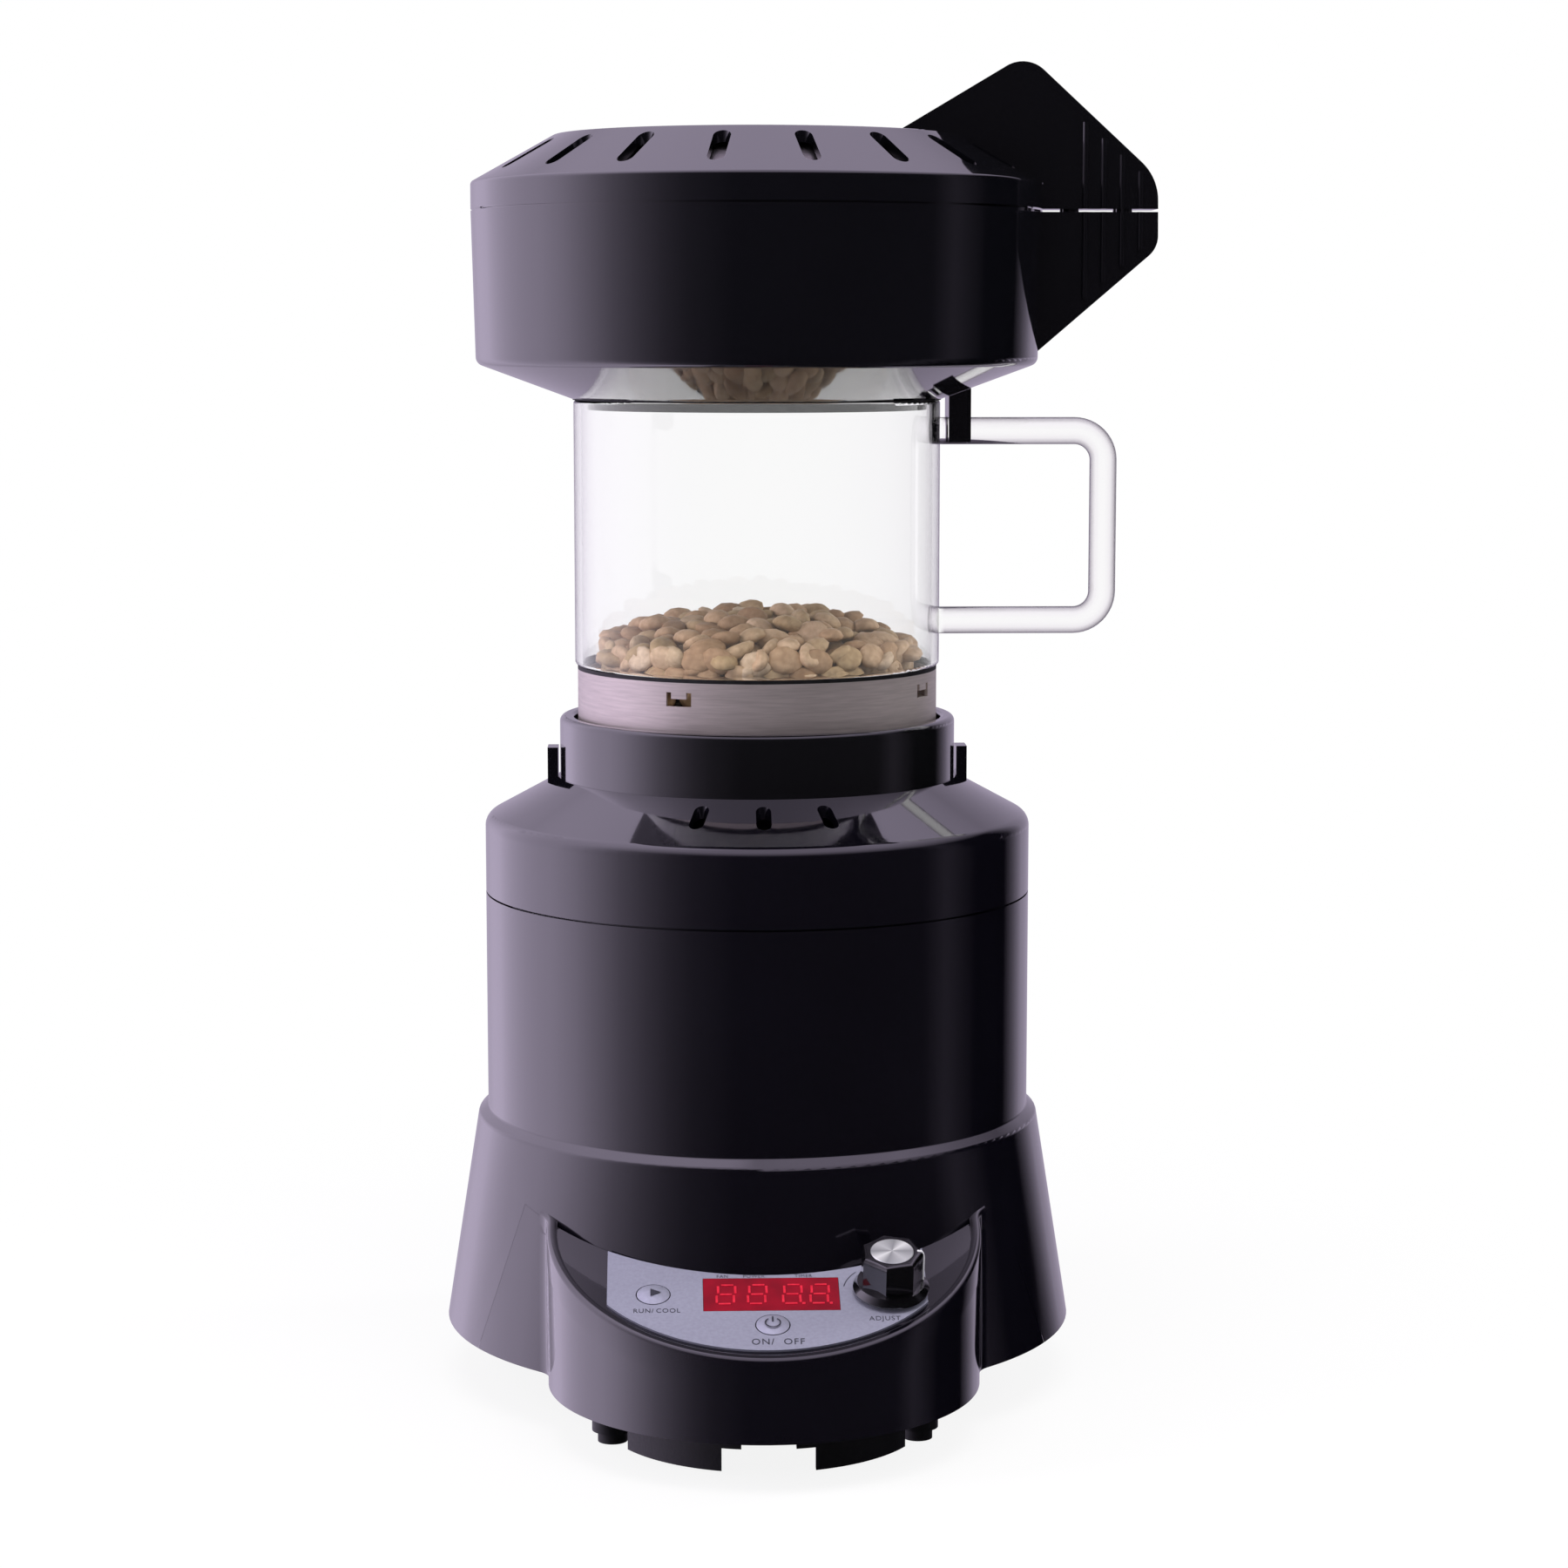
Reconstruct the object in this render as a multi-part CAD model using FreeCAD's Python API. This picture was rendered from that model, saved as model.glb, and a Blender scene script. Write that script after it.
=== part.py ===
import FreeCAD, Part
import math
import os

os.makedirs("parts", exist_ok=True)

# A home hot-air coffee roaster, in millimetres. Z is up, the control panel faces -Y and both
# handles point to +X. The origin is on the table, under the axis that every round part shares.

# Wall, gap and fit sizes
wall = 2.5
gap = 0.3
seam_gap = 0.5
steel_sheet = 0.8
fit_play = 0.05

# Heights above the table, and the rise of each tier above the one below
skirt_bottom = 16.0
ledge_height = 75.0
middle_rise = 60.4
top_rise = 20.4
shoulder_rise = 11.0
collar_rise = 16.8
ring_rise = 12.9
glass_rise = 73.2
bowl_cone_rise = 9.9
bowl_rise = 41.0
lid_wall_rise = 7.4
lid_slope_rise = 12.6
seam_height = ledge_height + middle_rise
shoulder_height = seam_height + top_rise
neck_height = shoulder_height + shoulder_rise
collar_top = neck_height + collar_rise
ring_top = collar_top + ring_rise
glass_top = ring_top + glass_rise
bowl_corner = glass_top + bowl_cone_rise
lid_seam = bowl_corner + bowl_rise
lid_wall_top = lid_seam + lid_wall_rise
lid_top = lid_wall_top + lid_slope_rise

# Radii of the round shells
body_radius = 75.0
ledge_step = 2.6
skirt_flare = 11.7
ledge_radius = body_radius + ledge_step
skirt_radius = body_radius + skirt_flare
glass_radius = 50.0
glass_wall = 2.0
ring_step = 0.7
ring_play = 1.0
collar_wall = 4.0
ring_radius = glass_radius - ring_step
collar_bore = ring_radius + ring_play
collar_radius = collar_bore + collar_wall
neck_radius = collar_radius - 2.3
bowl_radius = 76.3
spigot_depth = 2.5
lid_step = 1.0
lid_slope_run = 22.5
lid_radius = bowl_radius + lid_step
lid_flat_radius = lid_radius - lid_slope_run
chimney_radius = 27.0
chimney_drop = 11.6
chimney_rise = 11.0
chimney_top = lid_seam - chimney_drop
chimney_cone_top = chimney_top - chimney_rise

# Slots
lid_slot_count = 18
lid_slot_width = 4.6
lid_slot_inner = lid_flat_radius + 2.7
lid_slot_outer = lid_radius - 5.3
shoulder_slot_width = 4.0
shoulder_slot_inner = collar_radius + 3.2
shoulder_slot_outer = shoulder_slot_inner + 9.0
shoulder_slot_angles = (-15.7, 0.0, 15.7, 98.0)

# Front bezel and its sloping control panel
bumper_radius = 57.0
bumper_centre = -61.5
bumper_bottom = 13.0
panel_slope = 19.5
panel_front_z = 33.4
panel_recess = 1.2
bezel_seam_x = 64.1
bezel_seam_z = 55.0
bezel_seam_lean = 0.32
overlay_half_width = 41.0
overlay_thick = 0.6
overlay_front = 5.0
overlay_back = 60.0
window_centre = (1.0, 29.7)
window_size = (35.0, 14.5)
run_place = (-29.2, 30.0)
power_place = (1.0, 16.3)
button_radius = 4.2
button_travel = 0.4
button_rise = 1.2
knob_place = (31.7, 30.5)
knob_press = 0.5

# Adjusting knob
knob_skirt_radius = 10.6
knob_grip_radius = 8.0
knob_skirt_height = 2.6
knob_height = 14.0
knob_flute_count = 10
knob_flute_radius = 1.6
knob_cap_radius = 5.9
shaft_radius = 3.0

# Glass carrying handle and plastic handle leaves
loop_reach = 95.0
loop_rod = 3.7
loop_drop = 8.5
loop_height = 51.9
loop_top_z = glass_top - loop_drop
loop_bottom_z = loop_top_z - loop_height
loop_corner = 8.0
leaf_thick = 13.0
leaf_gap = 0.8
leaf_reach = 31.6
leaf_root = lid_radius - 1.3
leaf_nose = lid_radius + leaf_reach
leaf_apex_x = lid_radius - 4.8
leaf_apex_z = lid_top + 19.6
leaf_back_x = lid_flat_radius - 16.8
leaf_back_z = lid_top + 1.2
leaf_heel_z = bowl_corner + 3.2
rib_pitch = 5.0
rib_offsets = [lid_radius + 11.2 + rib_pitch * index for index in range(4)]
rib_width = 1.3
rib_half = 23.5
spacer_places = (lid_radius + 7.7, lid_radius + 22.2)
spacer_radius = 2.2

# Bottom plate, feet and guards
plate_thick = 2.5
leg_radius = 5.4
leg_bottom = 3.0
foot_radius = 3.9
foot_height = 6.0
leg_places = ((-40.0, -72.0), (40.0, -72.0), (-48.0, 52.0), (48.0, 52.0))
guard_radius = 42.0
guard_thick = 2.4
guard_bottom = 1.0
guard_step_bottom = 7.0
guard_outer_x = 36.0
guard_mid_x = 12.0
guard_inner_x = 7.0

# Blower, heater and air path
motor_radius = 18.0
motor_bottom = skirt_bottom + 8.0
motor_height = 36.0
motor_top = motor_bottom + motor_height
fan_shaft_radius = 1.6
impeller_radius = 50.0
impeller_height = 18.0
blade_count = 11
fan_plate_z = motor_top + 6.0
impeller_bottom = fan_plate_z + 6.0
funnel_radius = body_radius - 9.0
funnel_screw_radius = funnel_radius + 3.4
funnel_wall_top = fan_plate_z + 28.0
funnel_neck_z = funnel_wall_top + 14.0
tab_thick = 5.0
heater_radius = ring_radius - 8.3
heater_bottom = funnel_neck_z + gap
heater_top = neck_height - 6.8
mica_size = (72.0, 1.0, 34.0)
mica_bottom = heater_bottom + 7.7
coil_radius = 30.0
coil_wire = 0.9
coil_pitch = 6.0
coil_turns = 5

axis_z = FreeCAD.Vector(0, 0, 1)
centre = FreeCAD.Vector(0, 0, 0)


def vec(x, y, z):
    return FreeCAD.Vector(x, y, z)


def corner_round(before, point, after, radius):
    """Start, middle and end of the arc that rounds one corner of an outline."""
    to_before = (before - point).normalize()
    to_after = (after - point).normalize()
    half = to_before.getAngle(to_after) / 2
    reach = radius / math.tan(half)
    inward = (to_before + to_after).normalize()
    middle = point + inward * (radius / math.sin(half) - radius)
    return point + to_before * reach, middle, point + to_after * reach


def outline_face(points):
    """A flat face from (vector, corner radius) pairs."""
    edges = []
    ends = []
    count = len(points)
    for index, (point, radius) in enumerate(points):
        before = points[index - 1][0]
        after = points[(index + 1) % count][0]
        if radius:
            start, middle, end = corner_round(before, point, after, radius)
            edges.append(Part.Arc(start, middle, end).toShape())
            ends.append((start, end))
        else:
            edges.append(None)
            ends.append((point, point))
    chain = []
    for index in range(count):
        if edges[index]:
            chain.append(edges[index])
        start = ends[index][1]
        end = ends[(index + 1) % count][0]
        if start.distanceToPoint(end) > 1e-6:
            chain.append(Part.makeLine(start, end))
    return Part.Face(Part.Wire(Part.__sortEdges__(chain)))


def turned(*points):
    """A solid turned about the main axis from (radius, height) or (radius, height, round) points."""
    outline = []
    for point in points:
        corner = point[2] if len(point) > 2 else 0
        outline.append((vec(point[0], 0, point[1]), corner))
    return outline_face(outline).revolve(centre, axis_z, 360)


def rod(radius, low, high, x=0.0, y=0.0):
    return Part.makeCylinder(radius, high - low, vec(x, y, low))


def tube(outer, inner, low, high, x=0.0, y=0.0):
    return rod(outer, low, high, x, y).cut(rod(inner, low - 1, high + 1, x, y))


def block(x0, x1, y0, y1, z0, z1):
    return Part.makeBox(x1 - x0, y1 - y0, z1 - z0, vec(x0, y0, z0))


def join(shapes):
    first = shapes[0]
    return first.multiFuse(shapes[1:]).removeSplitter() if len(shapes) > 1 else first


def turn_copy(shape, angle):
    copy = shape.copy()
    copy.rotate(centre, axis_z, angle)
    return copy


def save(name, shape):
    """Writes one sub-part, either one solid or a group of like solids."""
    if not shape.isValid():
        print("not valid:", name)
    shape.exportStep("parts/" + name + ".step")
    print(name, len(shape.Solids), round(shape.Volume))


def group(name, shapes):
    save(name, Part.makeCompound(shapes))


# The panel's own frame: x across, y up the slope from the front of the bezel, z out of the panel.
panel_frame = FreeCAD.Placement(vec(0, bumper_centre - bumper_radius + 0.5, panel_front_z),
                                FreeCAD.Rotation(vec(1, 0, 0), panel_slope))


def on_panel(shape):
    placed = shape.copy()
    placed.Placement = panel_frame.multiply(placed.Placement)
    return placed


def above_panel(offset):
    """Everything over a plane that lies this far above the panel's plane."""
    return on_panel(block(-150, 150, -60, 200, offset, 150))


def radial_slot(angle, inner, outer, width, low, high):
    """A cutter for one radial slot with round ends, seen from above, at an angle from the front."""
    reach = outer - width / 2
    start = inner + width / 2
    body = block(-width / 2, width / 2, -reach, -start, low, high)
    ends = [rod(width / 2, low, high, 0, -reach), rod(width / 2, low, high, 0, -start)]
    return turn_copy(body.multiFuse(ends), angle)


# Body shells


def skirt_at(height):
    """The skirt's outer radius at a height above the table."""
    run = (height - skirt_bottom) / (ledge_height - 1.5 - skirt_bottom)
    return skirt_radius + run * (ledge_radius - skirt_radius)


def shell_outside():
    return ((skirt_radius, skirt_bottom), (ledge_radius, ledge_height - 1.5, 1.4),
            (body_radius, ledge_height + 0.6, 0.6), (body_radius, seam_height - seam_gap / 2))


def shell_inside():
    return ((body_radius - wall, seam_height - seam_gap / 2), (body_radius - wall, ledge_height - 2),
            (skirt_radius - wall, skirt_bottom))


def bezel_zone(play):
    """The part of the skirt that belongs to the front bezel, grown by a clearance."""
    low = skirt_bottom - 6
    half_low = bezel_seam_x + bezel_seam_lean * (bezel_seam_z - low) + play
    high = bezel_seam_z + 8
    half_high = bezel_seam_x + bezel_seam_lean * (bezel_seam_z - high) + play
    corners = (vec(-half_low, -150, low), vec(half_low, -150, low),
               vec(half_high, -150, high), vec(-half_high, -150, high), vec(-half_low, -150, low))
    prism = Part.Face(Part.makePolygon(corners)).extrude(vec(0, 140, 0))
    return prism.cut(above_panel(play))


def main_housing():
    shell = turned(*shell_outside(), *shell_inside())
    shell = shell.cut(bezel_zone(fit_play))
    gland_hole = Part.makeCylinder(5.0, 30, vec(0, 60, skirt_bottom + 12), vec(0, 1, 0))
    tab = block(funnel_screw_radius - 4, skirt_at(fan_plate_z) - wall / 2, -6, 6,
                fan_plate_z - tab_thick, fan_plate_z - fit_play)
    tab = tab.cut(rod(1.6, fan_plate_z - tab_thick - 1, fan_plate_z, funnel_screw_radius, 0))
    tabs = [turn_copy(tab, angle) for angle in (45, 135, 225, 315)]
    return shell.cut(gland_hole).multiFuse(tabs)


def top_housing():
    shoulder_slope = (neck_height - shoulder_height) / (body_radius - collar_radius - 0.4)
    inner_edge = neck_radius - 3
    shell = turned((body_radius, seam_height + seam_gap / 2), (body_radius, shoulder_height, 4.0),
                   (collar_radius + 0.4, neck_height), (inner_edge, neck_height),
                   (inner_edge, neck_height - wall), (collar_radius - 1, neck_height - wall),
                   (body_radius - wall, shoulder_height - wall + shoulder_slope, 2.0),
                   (body_radius - wall, seam_height + seam_gap / 2))
    lip = turned((body_radius - wall + 0.4, seam_height + 2), (body_radius - wall - 0.4, seam_height + 2),
                 (body_radius - wall - 0.4, seam_height - 4), (body_radius - wall - 1.8, seam_height - 4),
                 (body_radius - wall - 1.8, seam_height + 5), (body_radius - wall + 0.4, seam_height + 5))
    tabs = []
    for side in (-1, 1):
        tab = block(collar_radius + 0.5, collar_radius + 3.4, -4, 4, neck_height - 5, neck_height + 8)
        tabs.append(turn_copy(tab, 90 - 90 * side))
    slots = [radial_slot(angle, shoulder_slot_inner, shoulder_slot_outer, shoulder_slot_width,
                         shoulder_height - 8, neck_height + 2) for angle in shoulder_slot_angles]
    return shell.multiFuse([lip] + tabs).cut(Part.makeCompound(slots))


def chamber_collar():
    floor = neck_height + 1.6
    ring = turned((collar_radius, neck_height), (collar_radius, collar_top, 1.6), (collar_bore, collar_top, 1.0),
                  (collar_bore, floor + 2.4), (heater_radius + 0.6, floor + 2.4), (heater_radius + 0.6, floor),
                  (neck_radius - 3.4, floor), (neck_radius - 3.4, neck_height - wall - 3),
                  (neck_radius - 3.1, neck_height - wall - 3), (neck_radius - 3.1, neck_height))
    return ring



lip_radius = skirt_at(panel_front_z + 13)
bezel_deck_back = lip_radius - 2 * wall


def front_bezel():
    skirt = turned(*shell_outside(), *shell_inside()).common(bezel_zone(0))
    top = bezel_seam_z + 10
    full = rod(bumper_radius, bumper_bottom, top, 0, bumper_centre)
    inside_body = turned((0, 0), (skirt_radius - 0.2, skirt_bottom - 10), (skirt_radius - 0.2, skirt_bottom),
                         (ledge_radius - 0.2, ledge_height - 1.5), (0, ledge_height - 1.5))
    hollow = rod(bumper_radius - wall, bumper_bottom - 1, top, 0, bumper_centre)
    ring = full.cut(hollow).cut(inside_body)
    deck = rod(bumper_radius - 0.5, bumper_bottom, top, 0, bumper_centre)
    deck = deck.cut(above_panel(0)).common(above_panel(-wall))
    deck = deck.cut(rod(bezel_deck_back, 0, top))
    ring = ring.cut(above_panel(panel_recess))
    under_skirt = rod(bumper_radius - wall, 0, top, 0, bumper_centre).cut(above_panel(-wall))
    skirt = skirt.cut(under_skirt)
    shape = ring.multiFuse([skirt, deck])
    u, v = window_centre
    w, h = window_size
    cuts = [block(u - w / 2, u + w / 2, v - h / 2, v + h / 2, -9, 9)]
    for place in (run_place, power_place):
        cuts.append(rod(button_radius - 0.9, -9, 9, *place))
    cuts.append(rod(4.4, -9, 9, *knob_place))
    return shape.cut(on_panel(Part.makeCompound(cuts)))


save("main_housing", main_housing())
save("top_housing", top_housing())
save("chamber_collar", chamber_collar())
save("front_bezel", front_bezel())

# Control panel. Shapes are drawn in the panel's frame and placed on it.


def overlay_outline(low, high):
    sheet = block(-overlay_half_width, overlay_half_width, overlay_front, overlay_back, low, high)
    front_arc = rod(bumper_radius - 5.5, low, high, 0, bumper_radius)
    return sheet.common(front_arc)


def control_overlay():
    u, v = window_centre
    w, h = window_size
    sheet = on_panel(overlay_outline(0, overlay_thick)).cut(rod(lip_radius + gap, 0, 90))
    cuts = [block(u - w / 2, u + w / 2, v - h / 2, v + h / 2, -1, 2), rod(4.4, -1, 2, *knob_place)]
    for place in (run_place, power_place):
        cuts.append(rod(button_radius + gap, -1, 2, *place))
    return sheet.cut(on_panel(Part.makeCompound(cuts)))


def display_window():
    u, v = window_centre
    w, h = window_size
    pane = block(u - w / 2 + 0.1, u + w / 2 - 0.1, v - h / 2 + 0.1, v + h / 2 - 0.1, -1.5, overlay_thick)
    return on_panel(pane)


def button(place):
    """A domed key whose stem reaches the switch under the panel."""
    x, y = place
    sphere_radius = 9.0
    head = rod(button_radius, 0.5, button_rise + 0.5, x, y)
    ball = Part.makeSphere(sphere_radius, vec(x, y, 0.5 + button_rise - sphere_radius))
    stem = rod(button_radius - 1.3, board_top + 3.0 + button_travel + 0.1, 0.6, x, y)
    return on_panel(head.common(ball).fuse(stem))


board_top = -12.0
board_thick = 1.6


def panel_board():
    board = block(-40, 40, 10, 42, board_top - board_thick, board_top)
    posts = [rod(2.0, board_top, -wall, x, y) for x in (-20, 20) for y in (14.5, 38.0)]
    room = rod(bumper_radius - wall - 1, 0, 90, 0, bumper_centre)
    return on_panel(board.multiFuse(posts)).common(room).cut(rod(bezel_deck_back - 3, 0, 90))


def button_switches():
    return [on_panel(block(x - 3, x + 3, y - 3, y + 3, board_top, board_top + 3.0)) for x, y in (run_place, power_place)]


def display_module():
    u, v = window_centre
    w, h = window_size
    return on_panel(block(u - w / 2 + 0.6, u + w / 2 - 0.6, v - h / 2 + 0.6, v + h / 2 - 0.6, board_top, -1.7))


def encoder_body():
    x, y = knob_place
    case = block(x - 6, x + 6, y - 6, y + 6, board_top, board_top + 6)
    bush = rod(4.2, board_top + 6, -0.2, x, y)
    bore = rod(shaft_radius + fit_play, board_top + 1.6, 1, x, y)
    chamber = rod(4.0, board_top + 1.6, board_top + 4.6, x, y)
    return on_panel(case.fuse(bush).cut(bore).cut(chamber))


def encoder_plunger():
    x, y = knob_place
    return on_panel(rod(3.6, board_top + 1.6 + knob_press + 0.1, board_top + 3.2, x, y))


def encoder_shaft():
    x, y = knob_place
    shaft = rod(shaft_radius, board_top + 3.2 + fit_play, knob_base + knob_height - 4, x, y)
    flat = block(x - 4, x + 4, y + 1.6, y + 5, knob_base + 1, knob_base + knob_height)
    return on_panel(shaft.cut(flat))


knob_base = overlay_thick + knob_press + 0.4


def adjust_knob():
    x, y = knob_place
    skirt = Part.makeCone(knob_skirt_radius, knob_skirt_radius - 1.4, knob_skirt_height, vec(x, y, knob_base))
    top = knob_base + knob_height
    grip = rod(knob_grip_radius, knob_base + 1, top, x, y)
    grip = grip.makeFillet(0.8, [edge for edge in grip.Edges if abs(edge.BoundBox.ZMin - top) < 1e-6])
    flutes = []
    for index in range(knob_flute_count):
        angle = 2 * math.pi * (index + 0.5) / knob_flute_count
        reach = knob_grip_radius + 0.7
        flutes.append(rod(knob_flute_radius, knob_base + knob_skirt_height + 0.6, top + 1,
                          x + reach * math.cos(angle), y + reach * math.sin(angle)))
    body = skirt.fuse(grip.cut(Part.makeCompound(flutes)))
    bore = rod(shaft_radius + 0.02, knob_base - 1, top - 4 + 0.05, x, y)
    cap_seat = rod(knob_cap_radius + 0.05, top - 0.8, top + 1, x, y)
    slot = block(x + 6.2, x + 12, y - 0.6, y + 0.6, knob_base + knob_skirt_height - 0.5, top + 1)
    key = block(x - 2.2, x + 2.2, y + 1.65, y + 3.4, knob_base + 1.05, top - 4 + 0.05)
    return on_panel(body.cut(bore).cut(cap_seat).cut(slot).fuse(key))


def knob_cap():
    x, y = knob_place
    top = knob_base + knob_height
    return on_panel(rod(knob_cap_radius, top - 0.75, top + 0.05, x, y))


def knob_pointer():
    x, y = knob_place
    top = knob_base + knob_height
    line = block(x + 6.25, x + 8.1, y - 0.55, y + 0.55, knob_base + knob_skirt_height + 0.1, top - 0.4)
    return on_panel(line)


save("control_overlay", control_overlay())
save("display_window", display_window())
save("display_module", display_module())
save("panel_board", panel_board())
group("button_switches", button_switches())
save("run_button", button(run_place))
save("power_button", button(power_place))
save("encoder_body", encoder_body())
save("encoder_plunger", encoder_plunger())
save("encoder_shaft", encoder_shaft())
save("adjust_knob", adjust_knob())
save("knob_cap", knob_cap())
save("knob_pointer", knob_pointer())

# Bottom plate, legs, feet and guards

plate_top = skirt_bottom + plate_thick


def plate_outline(low, high):
    disc = rod(skirt_radius - wall - 0.6, low, high)
    lobe = rod(bumper_radius - wall - gap, low, high, 0, bumper_centre)
    return disc.fuse(lobe)


def bottom_plate():
    plate = plate_outline(skirt_bottom, plate_top)
    vents = []
    for ring, count in ((30.0, 12), (45.0, 18), (60.0, 24)):
        for index in range(count):
            angle = 2 * math.pi * index / count
            vents.append(rod(3.0, skirt_bottom - 1, plate_top + 1, ring * math.cos(angle), ring * math.sin(angle)))
    seats = [rod(leg_radius + 1, skirt_bottom - 1, plate_top + 1, *place) for place in leg_places]
    open_vents = Part.makeCompound(vents).cut(Part.makeCompound(seats))
    cup = tube(motor_radius + 3, motor_radius + fit_play, plate_top - 0.5, motor_bottom + 14)
    floor = rod(motor_radius + 1, plate_top - 0.5, motor_bottom - fit_play)
    shaft_hole = rod(4, 0, motor_bottom + 1)
    return plate.cut(open_vents).multiFuse([cup, floor]).cut(shaft_hole)


def legs():
    return [rod(leg_radius, leg_bottom, skirt_bottom, *place).cut(rod(foot_radius - 0.9, 0, leg_bottom + 3.2, *place))
            for place in leg_places]


def rubber_feet():
    return [rod(foot_radius, 0, leg_bottom, *place).fuse(rod(foot_radius - 1, leg_bottom, foot_height, *place))
            for place in leg_places]


def front_guards():
    guards = []
    for side in (-1, 1):
        arc = tube(guard_radius, guard_radius - guard_thick, guard_bottom, skirt_bottom, 0, bumper_centre)
        low, high = sorted((side * guard_mid_x, side * guard_outer_x))
        tall = arc.common(block(low, high, -120, bumper_centre, guard_bottom, skirt_bottom))
        low, high = sorted((side * guard_inner_x, side * (guard_mid_x + 1)))
        short = arc.common(block(low, high, -120, bumper_centre, guard_step_bottom, skirt_bottom))
        guards.append(tall.fuse(short).removeSplitter())
    return guards


save("bottom_plate", bottom_plate())
group("leg_posts", legs())
group("rubber_feet", rubber_feet())
group("front_guards", front_guards())

# Blower and heater


def motor_case():
    case = rod(motor_radius, motor_bottom, motor_top)
    case = case.makeChamfer(1.5, [edge for edge in case.Edges if len(edge.Vertexes) == 1])
    return case.cut(rod(3.0 + fit_play, motor_top - 6, motor_top + 1)).cut(rod(3.1, motor_bottom + 5, motor_top - 5.9))


def motor_bush():
    return tube(3.0, fan_shaft_radius + fit_play, motor_top - 6, motor_top + 1.5)


def fan_impeller():
    hub = tube(8, fan_shaft_radius + 0.02, impeller_bottom, impeller_bottom + impeller_height - 2)
    disc = tube(impeller_radius, 7, impeller_bottom + impeller_height - 4, impeller_bottom + impeller_height - 2.5)
    blades = []
    for index in range(blade_count):
        blade = block(18, impeller_radius - 1, -0.8, 0.8, impeller_bottom, impeller_bottom + impeller_height - 3)
        blade.rotate(vec(34, 0, 0), axis_z, 28)
        blades.append(turn_copy(blade, 360 * index / blade_count))
    return join([hub, disc] + blades)


def fan_plate():
    plate = tube(body_radius - wall - gap, 26, fan_plate_z, fan_plate_z + 2)
    bridge = [turn_copy(block(-30, 30, -3, 3, fan_plate_z, fan_plate_z + 2), angle) for angle in (0, 90)]
    ring = tube(motor_radius + 2.5, motor_radius - 6, motor_top + 0.1, fan_plate_z + 2)
    holes = [turn_copy(rod(1.6, fan_plate_z - 1, fan_plate_z + 3, funnel_screw_radius, 0), angle)
             for angle in (45, 135, 225, 315)]
    hub_hole = rod(motor_radius - 6, 0, fan_plate_z + 3)
    return plate.multiFuse(bridge + [ring]).cut(hub_hole).cut(Part.makeCompound(holes))


def air_funnel():
    base = fan_plate_z + 2
    shell = turned((funnel_radius + 5.7, base), (funnel_radius + 5.7, base + 2), (funnel_radius, base + 2),
                   (funnel_radius, funnel_wall_top), (heater_radius + 3, funnel_neck_z),
                   (heater_radius + 3, funnel_neck_z + 8), (heater_radius + 0.4, funnel_neck_z + 8),
                   (heater_radius + 0.4, funnel_neck_z - 1), (funnel_radius - 2, funnel_wall_top - 1),
                   (funnel_radius - 2, base))
    holes = [turn_copy(rod(1.6, base - 1, base + 3, funnel_screw_radius, 0), angle) for angle in (45, 135, 225, 315)]
    return shell.cut(Part.makeCompound(holes))


def funnel_screws():
    """Four screws that hold the funnel and fan plate to the posts in the body."""
    screws = []
    for angle in (45, 135, 225, 315):
        shank = rod(1.4, fan_plate_z - 4, fan_plate_z + 4.2, funnel_screw_radius, 0)
        head = rod(2.9, fan_plate_z + 4, fan_plate_z + 6, funnel_screw_radius, 0)
        screws.append(turn_copy(shank.fuse(head), angle))
    return screws


def heater_tube():
    return turned((heater_radius, heater_bottom), (heater_radius, heater_top), (heater_radius + 6, heater_top),
                  (heater_radius + 6, heater_top + 1), (heater_radius - steel_sheet, heater_top + 1),
                  (heater_radius - steel_sheet, heater_bottom))


def mica_cross():
    length, thick, height = mica_size
    boards = [block(-length / 2, length / 2, -thick / 2, thick / 2, mica_bottom, mica_bottom + height)]
    boards.append(turn_copy(boards[0], 90))
    ends = []
    for angle in (0, 90, 180, 270):
        ear = block(length / 2 - 1, heater_radius - steel_sheet - fit_play * 2, -thick / 2, thick / 2,
                    mica_bottom, mica_bottom + 5)
        ends.append(turn_copy(ear, angle))
    notches = []
    reach = coil_radius
    for angle in (0, 90, 180, 270):
        for turn in range(coil_turns + 1):
            z = coil_bottom + coil_pitch * (turn + angle / 360)
            hole = block(reach - 1.6, reach + 1.6, -2, 2, z - 1.6, z + 1.6)
            notches.append(turn_copy(hole, angle))
    return join(boards + ends).cut(Part.makeCompound(notches))


coil_bottom = mica_bottom + 2


def heater_coil():
    """Resistance wire wound square round the mica cross, from notch to notch."""
    corners = []
    for index in range(4 * coil_turns + 1):
        angle = math.pi / 2 * index
        corners.append(vec(coil_radius * math.cos(angle), coil_radius * math.sin(angle),
                           coil_bottom + coil_pitch * index / 4))
    runs = [Part.makeSphere(coil_wire, corner) for corner in corners]
    for start, end in zip(corners, corners[1:]):
        runs.append(Part.makeCylinder(coil_wire, start.distanceToPoint(end), start, end - start))
    return join(runs)


def seat_gasket():
    low = neck_height + 4.0
    return tube(collar_bore - 0.2, ring_radius - 5, low, low + 1.5)


def thermostat():
    can = Part.makeCylinder(7.5, 8, vec(heater_radius + 0.2, 0, heater_bottom + 21.7), vec(1, 0, 0))
    return turn_copy(can, 60)


def thermal_fuse():
    return turn_copy(Part.makeCylinder(2.0, 12, vec(heater_radius + 2.3, -6, heater_bottom + 36.7), vec(0, 1, 0)), 60)


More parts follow.
